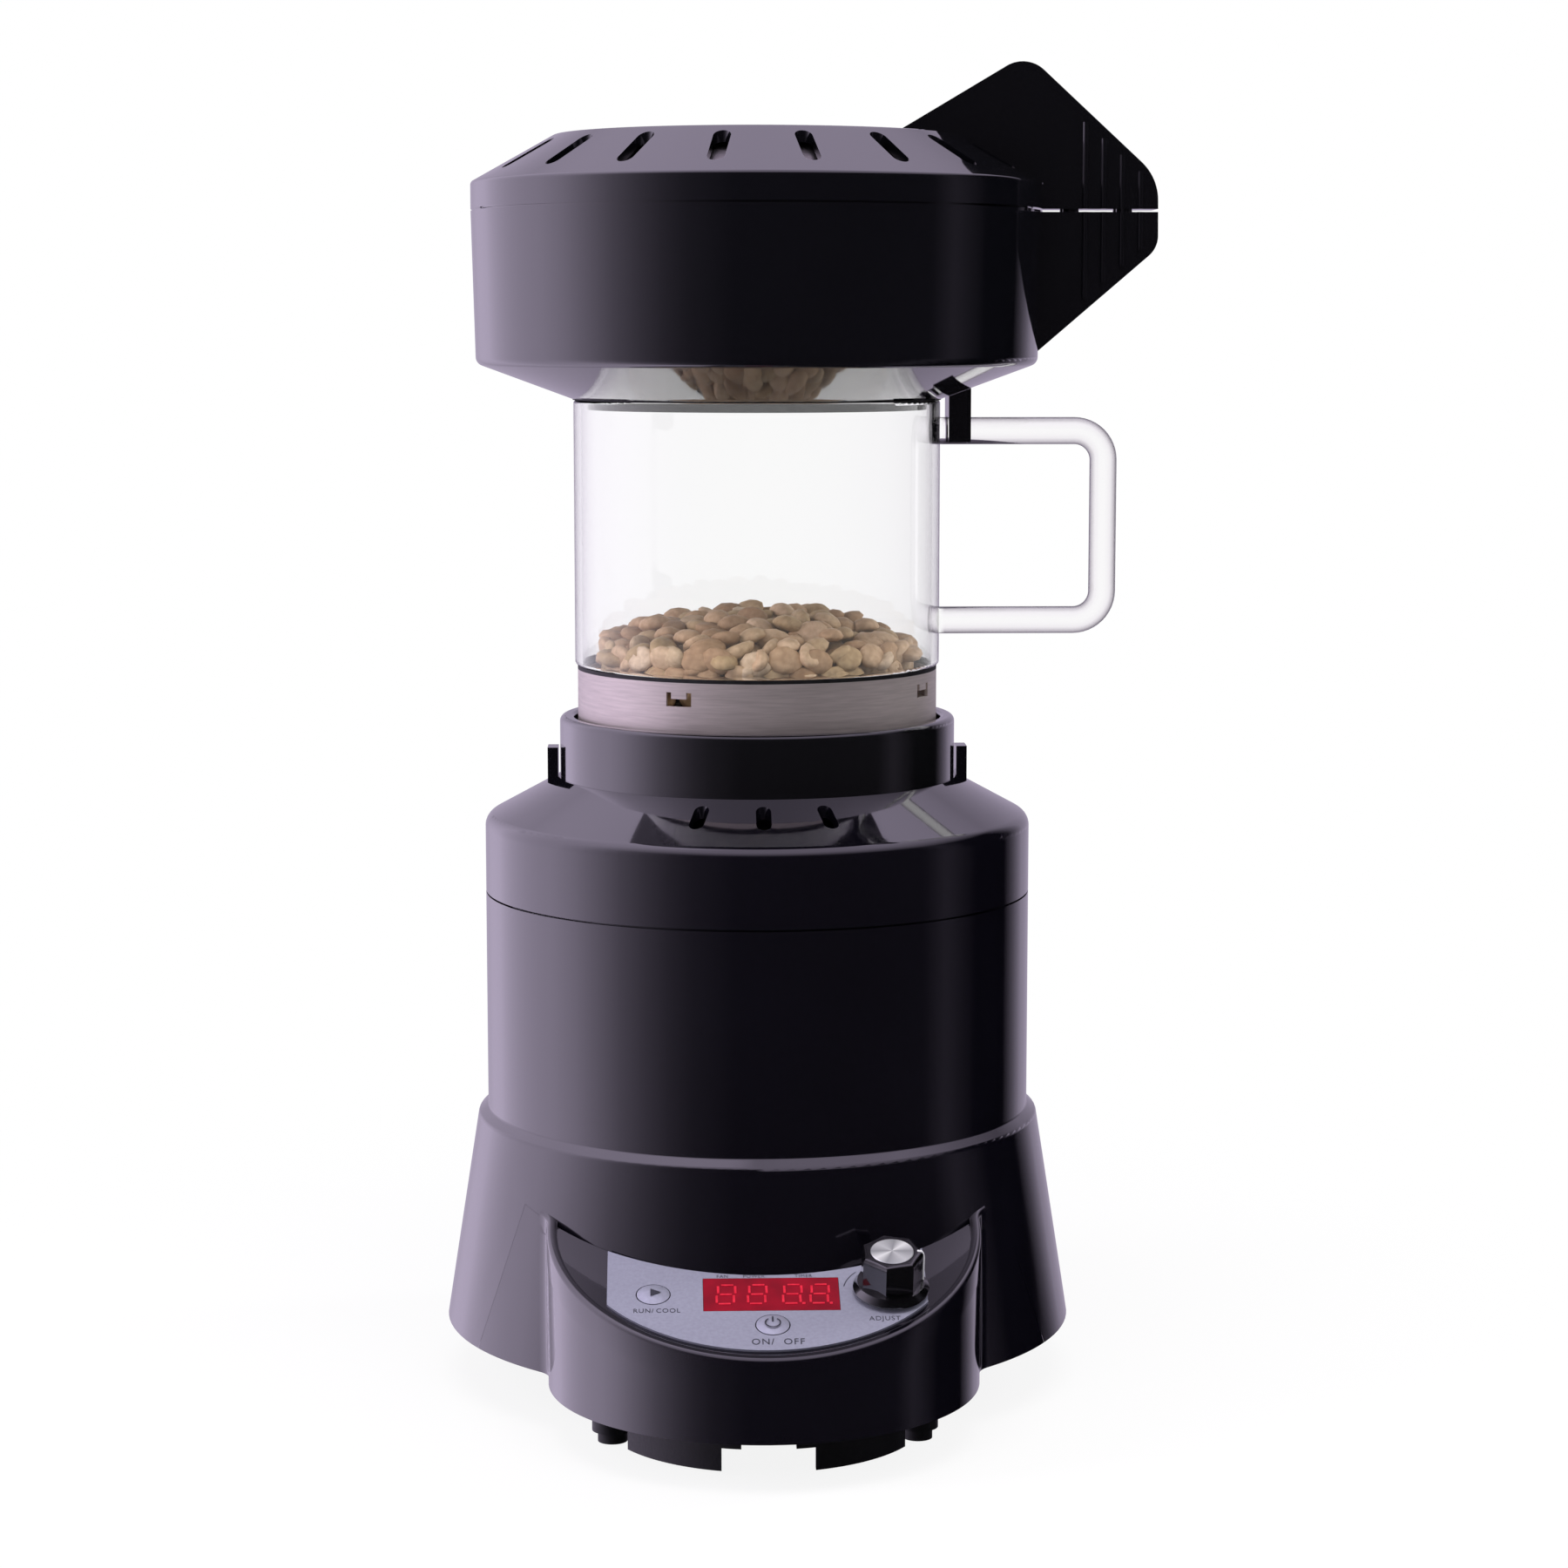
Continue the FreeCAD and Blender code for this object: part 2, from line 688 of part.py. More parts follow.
save("blower_motor", motor_case())
save("motor_bush", motor_bush())
save("fan_shaft", rod(fan_shaft_radius, motor_bottom + 6, impeller_bottom + impeller_height - 2))
save("fan_impeller", fan_impeller())
save("fan_plate", fan_plate())
save("air_funnel", air_funnel())
group("funnel_screws", funnel_screws())
save("heater_tube", heater_tube())
save("mica_cross", mica_cross())
save("heater_coil", heater_coil())
save("seat_gasket", seat_gasket())
save("thermostat", thermostat())
save("thermal_fuse", thermal_fuse())

# Power board at the back, on posts from the bottom plate

board_z = plate_top + 6
board_places = ((-28, 44), (28, 44), (-28, 62), (28, 62))


def power_board():
    board = block(-34, 34, 38, 68, board_z, board_z + board_thick)
    holes = [rod(1.6, board_z - 1, board_z + 3, *place) for place in board_places]
    return board.cut(Part.makeCompound(holes))


def heat_sink():
    base = block(-14, 14, 42, 45, board_z + board_thick, board_z + 24)
    fins = [block(x - 0.8, x + 0.8, 45, 54, board_z + board_thick, board_z + 24) for x in (-12, -6, 0, 6, 12)]
    return join([base] + fins)


def board_posts():
    return [rod(3, plate_top, board_z, *place) for place in board_places]


def board_screws():
    return [rod(2.8, board_z + board_thick, board_z + board_thick + 1.8, *place).fuse(
        rod(1.5, board_z, board_z + board_thick, *place)) for place in board_places]


def cord_gland():
    z = skirt_bottom + 12
    face = skirt_at(z)
    body = Part.makeCylinder(4.8, 8, vec(0, face - 5, z), vec(0, 1, 0))
    flange = Part.makeCone(7.4, 5.6, 5, vec(0, face - 2, z), vec(0, 1, 0))
    seat = turned((0, skirt_bottom), (skirt_radius + fit_play, skirt_bottom),
                  (ledge_radius + fit_play, ledge_height - 1.5), (0, ledge_height - 1.5))
    flange = flange.cut(seat)
    bore = Part.makeCylinder(3.2, 20, vec(0, face - 6, z), vec(0, 1, 0))
    return body.fuse(flange).cut(bore)


save("power_board", power_board())
save("heat_sink", heat_sink())
group("board_posts", board_posts())
group("board_screws", board_screws())
save("cord_gland", cord_gland())

# Roasting chamber: glass with its handle, steel ring, gasket, air plate and the beans

ring_bottom = neck_height + 4.0 + 1.5 + fit_play
plate_rest = ring_top - 10
gasket_thick = 1.0
glass_bottom = ring_top + gasket_thick


def chamber_glass():
    inner = glass_radius - glass_wall
    barrel = turned((glass_radius, glass_bottom, 1.2), (glass_radius, glass_top, 0.9), (inner, glass_top, 0.9),
                    (inner, glass_bottom, 0.6))
    start = vec(glass_radius - 1, 0, loop_top_z)
    top_bend = vec(loop_reach, 0, loop_top_z)
    low_bend = vec(loop_reach, 0, loop_bottom_z)
    end = vec(glass_radius - 1, 0, loop_bottom_z)
    first = corner_round(start, top_bend, low_bend, loop_corner)
    second = corner_round(top_bend, low_bend, end, loop_corner)
    path = Part.Wire([Part.makeLine(start, first[0]), Part.Arc(*first).toShape(),
                      Part.makeLine(first[2], second[0]), Part.Arc(*second).toShape(),
                      Part.makeLine(second[2], end)])
    circle = Part.Wire(Part.makeCircle(loop_rod, start, vec(1, 0, 0)))
    loop = path.makePipeShell([circle], True, False)
    return barrel.fuse(loop)


def chamber_ring():
    ring = tube(ring_radius, ring_radius - steel_sheet, ring_bottom, ring_top)
    rest = tube(ring_radius - steel_sheet + 0.1, ring_radius - 3, plate_rest - 1, plate_rest)
    cutters = []
    for angle in (-26.4, 63.6, 153.6, 243.6):
        window = block(-3.65, 3.65, -ring_radius - 2, -ring_radius + 1.2, ring_top - 6.3, ring_top - 2.6)
        lug = block(-2.2, 2.2, -ring_radius - 3, -ring_radius + 2, ring_top - 4.3, ring_top - 1.5)
        cutters.append(turn_copy(window.cut(lug), angle))
    return ring.fuse(rest).cut(Part.makeCompound(cutters))


def diffuser_plate():
    disc = rod(ring_radius - steel_sheet - 0.1, plate_rest, plate_rest + 1)
    slots = []
    for index in range(12):
        slot = block(14, 44, -0.9, 0.9, plate_rest - 1, plate_rest + 2)
        slots.append(turn_copy(slot, 30 * index + 15))
    return disc.cut(Part.makeCompound(slots))


def bean_charge():
    """The green beans as one closed heap: a dome on the air plate, clear of the glass."""
    low = plate_rest + 1 + gap
    rim = glass_radius - glass_wall - 1.2
    crown = low + 25.5
    side = low + 14.0
    dome = Part.Arc(vec(0, 0, crown), vec(rim * 0.55, 0, crown - 2.4), vec(rim, 0, side)).toShape()
    edges = [dome, Part.makeLine(vec(rim, 0, side), vec(rim, 0, low)),
             Part.makeLine(vec(rim, 0, low), vec(0, 0, low)), Part.makeLine(vec(0, 0, low), vec(0, 0, crown))]
    return Part.Face(Part.Wire(edges)).revolve(centre, axis_z, 360)


save("chamber_glass", chamber_glass())
save("chamber_ring", chamber_ring())
save("ring_gasket", tube(ring_radius, glass_radius - glass_wall - 0.5, ring_top, ring_top + gasket_thick))
save("diffuser_plate", diffuser_plate())
save("bean_charge", bean_charge())

# Chaff collector and its lid

throat = glass_radius - glass_wall - 1.6
seat_z = glass_top + 1.2


def collector_bowl():
    floor_z = seat_z + wall
    return turned((glass_radius + 0.6, seat_z - 0.8), (bowl_radius, bowl_corner, 2.5),
                  (lid_radius, lid_seam - seam_gap / 2), (lid_radius - wall, lid_seam - seam_gap / 2),
                  (bowl_radius - wall, bowl_corner + wall, 2.0), (glass_radius + 1.4, floor_z),
                  (throat - 2, floor_z), (throat - 2, glass_top - spigot_depth), (throat, glass_top - spigot_depth),
                  (throat, seat_z), (glass_radius + 0.6, seat_z))


def collector_seal():
    return tube(glass_radius + 0.2, throat + 0.2, glass_top + fit_play, seat_z)


def collector_chimney():
    low = seat_z + wall
    return turned((glass_radius, low), (glass_radius, low + 1.5), (throat - 2, low + 1.5),
                  (chimney_radius, chimney_cone_top), (chimney_radius, chimney_top),
                  (chimney_radius - 1.5, chimney_top), (chimney_radius - 1.5, chimney_cone_top - 0.5),
                  (throat - 4, low))


def chimney_cap():
    """A shallow cone on three struts that turns the rising chaff outwards."""
    rim = chimney_radius + 3
    cone = turned((0, chimney_top + 7), (rim, chimney_top + 3.6), (rim, chimney_top + 2.6), (0, chimney_top + 5.8))
    strut = block(chimney_radius - 1.8, chimney_radius - 0.1, -2, 2, chimney_top, chimney_top + 3.8)
    return join([cone] + [turn_copy(strut, angle) for angle in (0, 120, 240)])


def collector_lid():
    slope_low = lid_wall_top
    shell = turned((lid_radius, lid_seam + seam_gap / 2), (lid_radius, slope_low, 1.2), (lid_flat_radius, lid_top, 1.5),
                   (0, lid_top), (0, lid_top - wall), (lid_flat_radius - 0.8, lid_top - wall),
                   (lid_radius - wall, slope_low - 1.6), (lid_radius - wall, lid_seam + seam_gap / 2))
    lip = turned((lid_radius - wall + 0.3, lid_seam + 3), (lid_radius - wall - 0.4, lid_seam + 3),
                 (lid_radius - wall - 0.4, lid_seam - 4), (lid_radius - wall - 1.8, lid_seam - 4),
                 (lid_radius - wall - 1.8, lid_seam + 5), (lid_radius - wall + 0.3, lid_seam + 5))
    step = 360 / lid_slot_count
    slots = [radial_slot(step * (index + 0.5), lid_slot_inner, lid_slot_outer, lid_slot_width,
                         slope_low - 4, lid_top + 3) for index in range(lid_slot_count)]
    return shell.fuse(lip).cut(Part.makeCompound(slots))


def lid_screen():
    """Fine mesh cone under the slots, drawn as a thin closed sheet."""
    slope = (lid_top - lid_wall_top) / (lid_radius - lid_flat_radius)
    low = lid_wall_top - 1.6 - 0.4
    inner = lid_flat_radius - 4
    outer = lid_radius - wall - 2.4
    rise = (outer - inner) * slope
    return turned((outer, low - 0.4), (outer, low), (inner, low + rise), (inner, low + rise - 0.4))


def leaf_outline():
    """The whole handle fin, seen from the front, before the seam splits it."""
    z_mid = lid_seam
    points = [(vec(leaf_back_x, 0, leaf_back_z), 0), (vec(leaf_apex_x, 0, leaf_apex_z + 2.0), 8.5),
              (vec(leaf_nose - 0.6, 0, z_mid + 8.8), 14.0), (vec(leaf_nose - 0.4, 0, z_mid - 10.0), 7.0),
              (vec(leaf_root, 0, leaf_heel_z), 0), (vec(leaf_back_x, 0, leaf_heel_z), 0)]
    face = outline_face(points)
    face.translate(vec(0, -leaf_thick / 2, 0))
    fin = face.extrude(vec(0, leaf_thick, 0))
    grips = []
    for x in rib_offsets:
        half_rise = rib_half - (x - rib_offsets[0]) * 0.87
        for side in (-1, 1):
            y = side * leaf_thick / 2
            grips.append(Part.makeCylinder(rib_width / 2 + 0.2, 2 * half_rise, vec(x, y, z_mid - half_rise)))
    return fin.multiFuse(grips)


def inside_lid():
    """The room that the lid and bowl take, which the fin stops at."""
    return turned((0, glass_top - 20), (glass_radius, glass_top - 20), (glass_radius + 0.6, seat_z - 0.8), (bowl_radius, bowl_corner),
                  (lid_radius, lid_seam - seam_gap / 2), (lid_radius, lid_wall_top), (lid_flat_radius, lid_top),
                  (0, lid_top))


def lid_handle():
    upper = block(0, 2 * leaf_nose, -20, 20, lid_seam + leaf_gap / 2, 2 * lid_top)
    spacers = [rod(spacer_radius, lid_seam - leaf_gap / 2 + fit_play, lid_seam + leaf_gap / 2 + 1, x, y)
               for x in spacer_places for y in (-3.5, 3.5)]
    return leaf_outline().common(upper).cut(inside_lid()).multiFuse(spacers)


def collector_handle():
    lower = block(0, 2 * leaf_nose, -20, 20, glass_top, lid_seam - leaf_gap / 2)
    return leaf_outline().common(lower).cut(inside_lid())


def handle_clip():
    """Saddle under the collector that drops over the glass handle's top bar."""
    top = bowl_corner - 2.6
    bar = Part.makeCylinder(loop_rod + gap, 30, vec(glass_radius, 0, loop_top_z), vec(1, 0, 0))
    well = block(glass_radius, loop_reach, -loop_rod - gap, loop_rod + gap, loop_bottom_z, loop_top_z)
    body = block(glass_radius + 2.0, glass_radius + 8.0, -7, 7, loop_top_z - 2.9, top)
    shelf = block(glass_radius + 0.8, glass_radius + 8.0, -7, 7, glass_top + 1.8, top)
    under_bowl = turned((0, seat_z - 0.85), (glass_radius + 0.6, seat_z - 0.85), (bowl_radius, bowl_corner - 0.05),
                        (bowl_radius, lid_seam), (0, lid_seam))
    return body.fuse(shelf).cut(bar).cut(well).cut(under_bowl).removeSplitter()


save("collector_bowl", collector_bowl())
save("collector_seal", collector_seal())
save("collector_chimney", collector_chimney())
save("chimney_cap", chimney_cap())
save("collector_handle", collector_handle())
save("handle_clip", handle_clip())
save("collector_lid", collector_lid())
save("lid_screen", lid_screen())
save("lid_handle", lid_handle())
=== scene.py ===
import math
import random

import bpy
from mathutils import Matrix, Vector


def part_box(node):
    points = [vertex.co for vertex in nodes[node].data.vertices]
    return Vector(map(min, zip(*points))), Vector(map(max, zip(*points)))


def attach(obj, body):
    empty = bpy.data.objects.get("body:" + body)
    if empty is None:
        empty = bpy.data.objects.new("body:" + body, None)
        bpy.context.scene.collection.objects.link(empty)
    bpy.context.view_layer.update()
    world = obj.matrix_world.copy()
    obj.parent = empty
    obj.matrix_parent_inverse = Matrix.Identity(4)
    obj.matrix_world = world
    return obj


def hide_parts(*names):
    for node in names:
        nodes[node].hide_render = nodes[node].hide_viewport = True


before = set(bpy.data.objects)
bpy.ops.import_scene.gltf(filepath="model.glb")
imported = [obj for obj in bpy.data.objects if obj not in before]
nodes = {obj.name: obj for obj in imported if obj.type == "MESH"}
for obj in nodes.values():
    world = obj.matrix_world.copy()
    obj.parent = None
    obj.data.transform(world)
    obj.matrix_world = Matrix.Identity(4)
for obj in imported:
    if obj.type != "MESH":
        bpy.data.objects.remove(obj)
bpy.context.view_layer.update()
bpy.ops.object.select_all(action="DESELECT")

# Camera. A long lens stands about a metre off, a little above the collector, and looks down past it.
# The roaster's front is turned two degrees to the right of the lens.
lens = 82.0
camera_place = (-0.0268, -0.9797, 0.2895)
camera_down = 7.3
camera_turn = -2.0
bpy.ops.object.camera_add(location=camera_place,
                          rotation=(math.radians(90 - camera_down), 0, math.radians(camera_turn)))
camera = bpy.context.object
camera.data.lens = lens
camera.data.sensor_width = 36.0
camera.data.clip_start = 0.01
bpy.context.scene.camera = camera
bpy.context.scene.view_settings.view_transform = "Standard"


def linear(code):
    """An sRGB hex value as a linear colour."""
    parts = [int(code[i:i + 2], 16) / 255 for i in (1, 3, 5)]
    return tuple(c / 12.92 if c <= 0.04045 else ((c + 0.055) / 1.055) ** 2.4 for c in parts) + (1.0,)


def add_node(tree, kind, settings=None, values=None, links=None):
    """One shader node, with its settings, the values of its inputs, and what feeds them."""
    node = tree.nodes.new(kind)
    for name, value in (settings or {}).items():
        setattr(node, name, value)
    for name, value in (values or {}).items():
        node.inputs[name].default_value = value
    for name, source in (links or {}).items():
        tree.links.new(source, node.inputs[name])
    return node


def ramp_stops(node, stops):
    """Sets a colour ramp to (place, grey or colour) stops."""
    ramp = node.color_ramp
    while len(ramp.elements) > 1:
        ramp.elements.remove(ramp.elements[-1])
    for index, (place, value) in enumerate(stops):
        colour = (value, value, value, 1.0) if isinstance(value, float) else value
        element = ramp.elements[0] if index == 0 else ramp.elements.new(place)
        element.position = place
        element.color = colour


# Studio. A white wall stands behind, a tall soft screen at the left, and black flags at the front
# and right. The gloss mirrors all of them, so they are painted on the world round the object by
# compass direction. Straight ahead of the lens the wall is pure white.
world = bpy.data.worlds.new("studio")
bpy.context.scene.world = world
world.use_nodes = True
sky = world.node_tree
sky.nodes.clear()
direction = add_node(sky, "ShaderNodeTexCoord")
compass = add_node(sky, "ShaderNodeTexGradient", {"gradient_type": "RADIAL"},
                   links={"Vector": direction.outputs["Generated"]})
screens = add_node(sky, "ShaderNodeValToRGB", links={"Fac": compass.outputs["Fac"]})
wall_white = linear("#FFFFFF")
screen_lilac = linear("#EFE1FF")
screen_levels = ((0.0, 0.95), (0.017, 0.88), (0.053, 0.6), (0.083, 0.36), (0.114, 0.2), (0.142, 0.1),
                 (0.17, 0.045), (0.22, 0.012), (0.45, 0.012), (0.483, 0.06), (0.51, 0.025), (0.535, 0.0),
                 (0.6, 0.0), (0.62, 0.09), (0.66, 0.3), (0.75, 0.3), (0.8, 0.4), (0.86, 0.8), (0.936, 0.92),
                 (0.98, 1.0), (1.0, 0.95))
ramp_stops(screens, [(place, tuple(level * part for part in screen_lilac[:3]) + (1.0,))
                     for place, level in screen_levels])
overhead_from, overhead_to, overhead_share = 0.5, 0.86, 0.65
height_split = add_node(sky, "ShaderNodeSeparateXYZ", links={"Vector": direction.outputs["Generated"]})
overhead = add_node(sky, "ShaderNodeMapRange",
                    values={"From Min": overhead_from, "From Max": overhead_to, "To Max": overhead_share},
                    links={"Value": height_split.outputs["Z"]})
lifted = add_node(sky, "ShaderNodeMix", {"data_type": "RGBA"})
sky.links.new(overhead.outputs["Result"], lifted.inputs[0])
sky.links.new(screens.outputs["Color"], lifted.inputs[6])
lifted.inputs[7].default_value = screen_lilac
mirror_strength, fill_strength = 1.45, 0.55
mirrored = add_node(sky, "ShaderNodeBackground", values={"Strength": mirror_strength},
                    links={"Color": lifted.outputs[2]})
fill_light = add_node(sky, "ShaderNodeBackground",
                      values={"Color": linear("#F4F1F8"), "Strength": fill_strength})
backdrop = add_node(sky, "ShaderNodeBackground", values={"Color": wall_white, "Strength": 1.0})
rays = add_node(sky, "ShaderNodeLightPath")
seen = add_node(sky, "ShaderNodeMath", {"operation": "MAXIMUM"},
                links={0: rays.outputs["Is Camera Ray"], 1: rays.outputs["Is Transmission Ray"]})
glossy_mix = add_node(sky, "ShaderNodeMixShader", links={"Fac": rays.outputs["Is Glossy Ray"]})
sky.links.new(fill_light.outputs[0], glossy_mix.inputs[1])
sky.links.new(mirrored.outputs[0], glossy_mix.inputs[2])
camera_mix = add_node(sky, "ShaderNodeMixShader", links={"Fac": seen.outputs[0]})
sky.links.new(glossy_mix.outputs[0], camera_mix.inputs[1])
sky.links.new(backdrop.outputs[0], camera_mix.inputs[2])
add_node(sky, "ShaderNodeOutputWorld", links={"Surface": camera_mix.outputs[0]})

# Soft boxes. Two tall panels light the sides and one broad panel lights the top and the beans.
soft_boxes = (("left_box", (-0.75, -0.25, 0.35), (0.25, 0.9), 5.5, "#F1EAFA"),
              ("right_box", (0.85, 0.15, 0.35), (0.12, 0.9), 4.0, "#FFFFFF"),
              ("top_box", (0.0, -0.35, 1.1), (0.8, 0.5), 7.0, "#FFFDF8"))
aim_height = 0.17
for name, place, size, watts, tint in soft_boxes:
    bpy.ops.object.light_add(type="AREA", location=place)
    box_light = bpy.context.object
    box_light.name = name
    box_light.data.shape = "RECTANGLE"
    box_light.data.size, box_light.data.size_y = size
    box_light.data.energy = watts
    box_light.data.color = linear(tint)[:3]
    box_light.visible_glossy = False
    box_light.visible_transmission = False
    aim = Vector((0, 0, aim_height)) - Vector(place)
    box_light.rotation_euler = aim.to_track_quat("-Z", "Y").to_euler()

# Table. A white acrylic sweep, nearly matt, that keeps only a faint shadow under the feet. The
# gloss and the glass pass it by, and see the screens and flags below the horizon too.
sweep_size, sweep_back, sweep_drop = 6.0, 0.6, 0.0002
bpy.ops.mesh.primitive_plane_add(size=sweep_size, location=(0, sweep_back, -sweep_drop))
table = bpy.context.object
table.name = "white_table"
white_acrylic = bpy.data.materials.new("white_acrylic")
white_acrylic.use_nodes = True
tree = white_acrylic.node_tree
tree.nodes.clear()
place = add_node(tree, "ShaderNodeTexCoord")
lit = add_node(tree, "ShaderNodeBsdfDiffuse", values={"Color": linear("#F4F3F6")})
glow = add_node(tree, "ShaderNodeEmission", values={"Color": wall_white, "Strength": 1.0})
path = add_node(tree, "ShaderNodeLightPath")
from_axis = add_node(tree, "ShaderNodeVectorMath", {"operation": "LENGTH"},
                     links={"Vector": place.outputs["Object"]})
near_share, far_share, near_reach, far_reach = 0.88, 1.0, 0.1, 0.4
share = add_node(tree, "ShaderNodeMapRange", {"interpolation_type": "SMOOTHSTEP"},
                 {"From Min": near_reach, "From Max": far_reach, "To Min": near_share, "To Max": far_share},
                 {"Value": from_axis.outputs["Value"]})
seen_share = add_node(tree, "ShaderNodeMath", {"operation": "MULTIPLY"},
                      links={0: path.outputs["Is Camera Ray"], 1: share.outputs["Result"]})
bent = add_node(tree, "ShaderNodeMath", {"operation": "MAXIMUM"},
                links={0: path.outputs["Is Glossy Ray"], 1: path.outputs["Is Transmission Ray"]})
floor_mix = add_node(tree, "ShaderNodeMixShader", links={"Fac": seen_share.outputs[0]})
tree.links.new(lit.outputs[0], floor_mix.inputs[1])
tree.links.new(glow.outputs[0], floor_mix.inputs[2])
unseen = add_node(tree, "ShaderNodeBsdfTransparent")
gloss_mix = add_node(tree, "ShaderNodeMixShader", links={"Fac": bent.outputs[0]})
tree.links.new(floor_mix.outputs[0], gloss_mix.inputs[1])
tree.links.new(unseen.outputs[0], gloss_mix.inputs[2])
add_node(tree, "ShaderNodeOutputMaterial", links={"Surface": gloss_mix.outputs[0]})
bpy.ops.object.select_all(action="DESELECT")
table.select_set(True)
bpy.ops.object.transform_apply(location=True, rotation=True, scale=True)
table.data.materials.append(white_acrylic)

# Black housings. Injection-moulded ABS from polished steel tools: a deep blue-black with a mirror
# skin that ripples very slightly over the walls, and a haze of fine wiping marks.


def new_finish(name):
    """A material with its tree, its shader and the piece's own coordinates."""
    material = bpy.data.materials.new(name)
    material.use_nodes = True
    tree = material.node_tree
    return material, tree, tree.nodes["Principled BSDF"], add_node(tree, "ShaderNodeTexCoord")


def polished_abs(name, colour, gloss, ripple):
    """Glossy ABS. Colour, mirror roughness and the height of the moulding ripple in millimetres."""
    material, tree, skin, place = new_finish(name)
    ripple_size, wipe_size, haze_rise = 0.035, 0.004, 0.05
    waves = add_node(tree, "ShaderNodeTexNoise", values={"Scale": 1 / ripple_size, "Detail": 1.0},
                     links={"Vector": place.outputs["Object"]})
    stretch = add_node(tree, "ShaderNodeMapping", values={"Scale": (1.0, 1.0, 0.25)},
                       links={"Vector": place.outputs["Object"]})
    wiping = add_node(tree, "ShaderNodeTexNoise", values={"Scale": 1 / wipe_size, "Detail": 4.0},
                      links={"Vector": stretch.outputs["Vector"]})
    haze = add_node(tree, "ShaderNodeMapRange",
                    values={"From Min": 0.45, "From Max": 0.8,
                            "To Min": gloss, "To Max": gloss + haze_rise},
                    links={"Value": wiping.outputs["Fac"]})
    tint = add_node(tree, "ShaderNodeValToRGB", links={"Fac": waves.outputs["Fac"]})
    base = linear(colour)
    ramp_stops(tint, [(0.3, base), (0.8, tuple(c * 1.25 for c in base[:3]) + (1.0,))])
    bump = add_node(tree, "ShaderNodeBump", values={"Strength": 0.15, "Distance": ripple / 1000},
                    links={"Height": waves.outputs["Fac"]})
    tree.links.new(tint.outputs["Color"], skin.inputs["Base Color"])
    tree.links.new(haze.outputs["Result"], skin.inputs["Roughness"])
    tree.links.new(bump.outputs["Normal"], skin.inputs["Normal"])
    skin.inputs["IOR"].default_value = 1.54
    skin.inputs["Coat Weight"].default_value = 1.0
    skin.inputs["Coat Roughness"].default_value = 0.03
    skin.inputs["Coat IOR"].default_value = 1.7
    return material


def dress(material, *names):
    """Gives CAD nodes a material in place of the plain one they came with."""
    for name in names:
        mesh = nodes[name].data
        mesh.materials.clear()
        mesh.materials.append(material)


housing_gloss = polished_abs("black_abs_polished", "#08070D", 0.07, 0.5)
dress(housing_gloss, "main_housing", "top_housing", "front_bezel")
dress(polished_abs("black_abs_collar", "#0A0A0C", 0.1, 0.4), "chamber_collar")
dress(polished_abs("black_abs_collector", "#08080C", 0.06, 0.4), "collector_bowl", "collector_lid",
      "collector_chimney", "chimney_cap")
dress(polished_abs("black_abs_handle", "#07070A", 0.2, 0.3),
      "collector_handle", "lid_handle", "handle_clip")

# Bottom plate, legs and guards. Black ABS from a spark-eroded tool, so its skin is a fine even
# matt grain. The same plastic makes the hidden blower case and the cord gland.


def speckle(tree, skin, place, size, detail, tones, relief=None):
    """Fine noise over a skin: its grain in metres, its two tones, and a bump's strength and height."""
    noise = add_node(tree, "ShaderNodeTexNoise", values={"Scale": 1 / size, "Detail": detail},
                     links={"Vector": place.outputs["Object"]})
    shades = add_node(tree, "ShaderNodeValToRGB", links={"Fac": noise.outputs["Fac"]})
    ramp_stops(shades, [(share, linear(code)) for share, code in tones])
    tree.links.new(shades.outputs["Color"], skin.inputs["Base Color"])
    if relief:
        strength, height = relief
        bump = add_node(tree, "ShaderNodeBump", values={"Strength": strength, "Distance": height},
                        links={"Height": noise.outputs["Fac"]})
        tree.links.new(bump.outputs["Normal"], skin.inputs["Normal"])
    return noise, shades


grain_size = 0.0008
eroded_abs, tree, skin, place = new_finish("black_abs_eroded")
grain, _ = speckle(tree, skin, place, grain_size, 2.0,
                   ((0.3, "#0B0B0D"), (0.75, "#131316")), (0.35, 0.0001))
rough = add_node(tree, "ShaderNodeMapRange", values={"To Min": 0.38, "To Max": 0.6},
                 links={"Value": grain.outputs["Fac"]})
tree.links.new(rough.outputs["Result"], skin.inputs["Roughness"])
dress(eroded_abs, "bottom_plate", "leg_posts", "front_guards", "fan_plate", "air_funnel", "board_posts",
      "cord_gland", "fan_impeller")

# Rubber and silicone. Feet, gaskets and seals are moulded soft parts with a dusty, broken skin.


def moulded_rubber(name, colour, bloom):
    """Rubber or silicone in its own colour, with the paler bloom that lies on it in fine patches."""
    dust_size = 0.002
    material, tree, skin, place = new_finish(name)
    speckle(tree, skin, place, dust_size, 5.0, ((0.35, colour), (0.8, bloom)), (0.3, 0.0001))
    skin.inputs["Roughness"].default_value = 0.62
    return material


dress(moulded_rubber("black_rubber", "#0D0D0E", "#1C1C1E"), "rubber_feet", "ring_gasket", "collector_seal")
dress(moulded_rubber("red_silicone", "#7A1E14", "#8E2C20"), "seat_gasket")

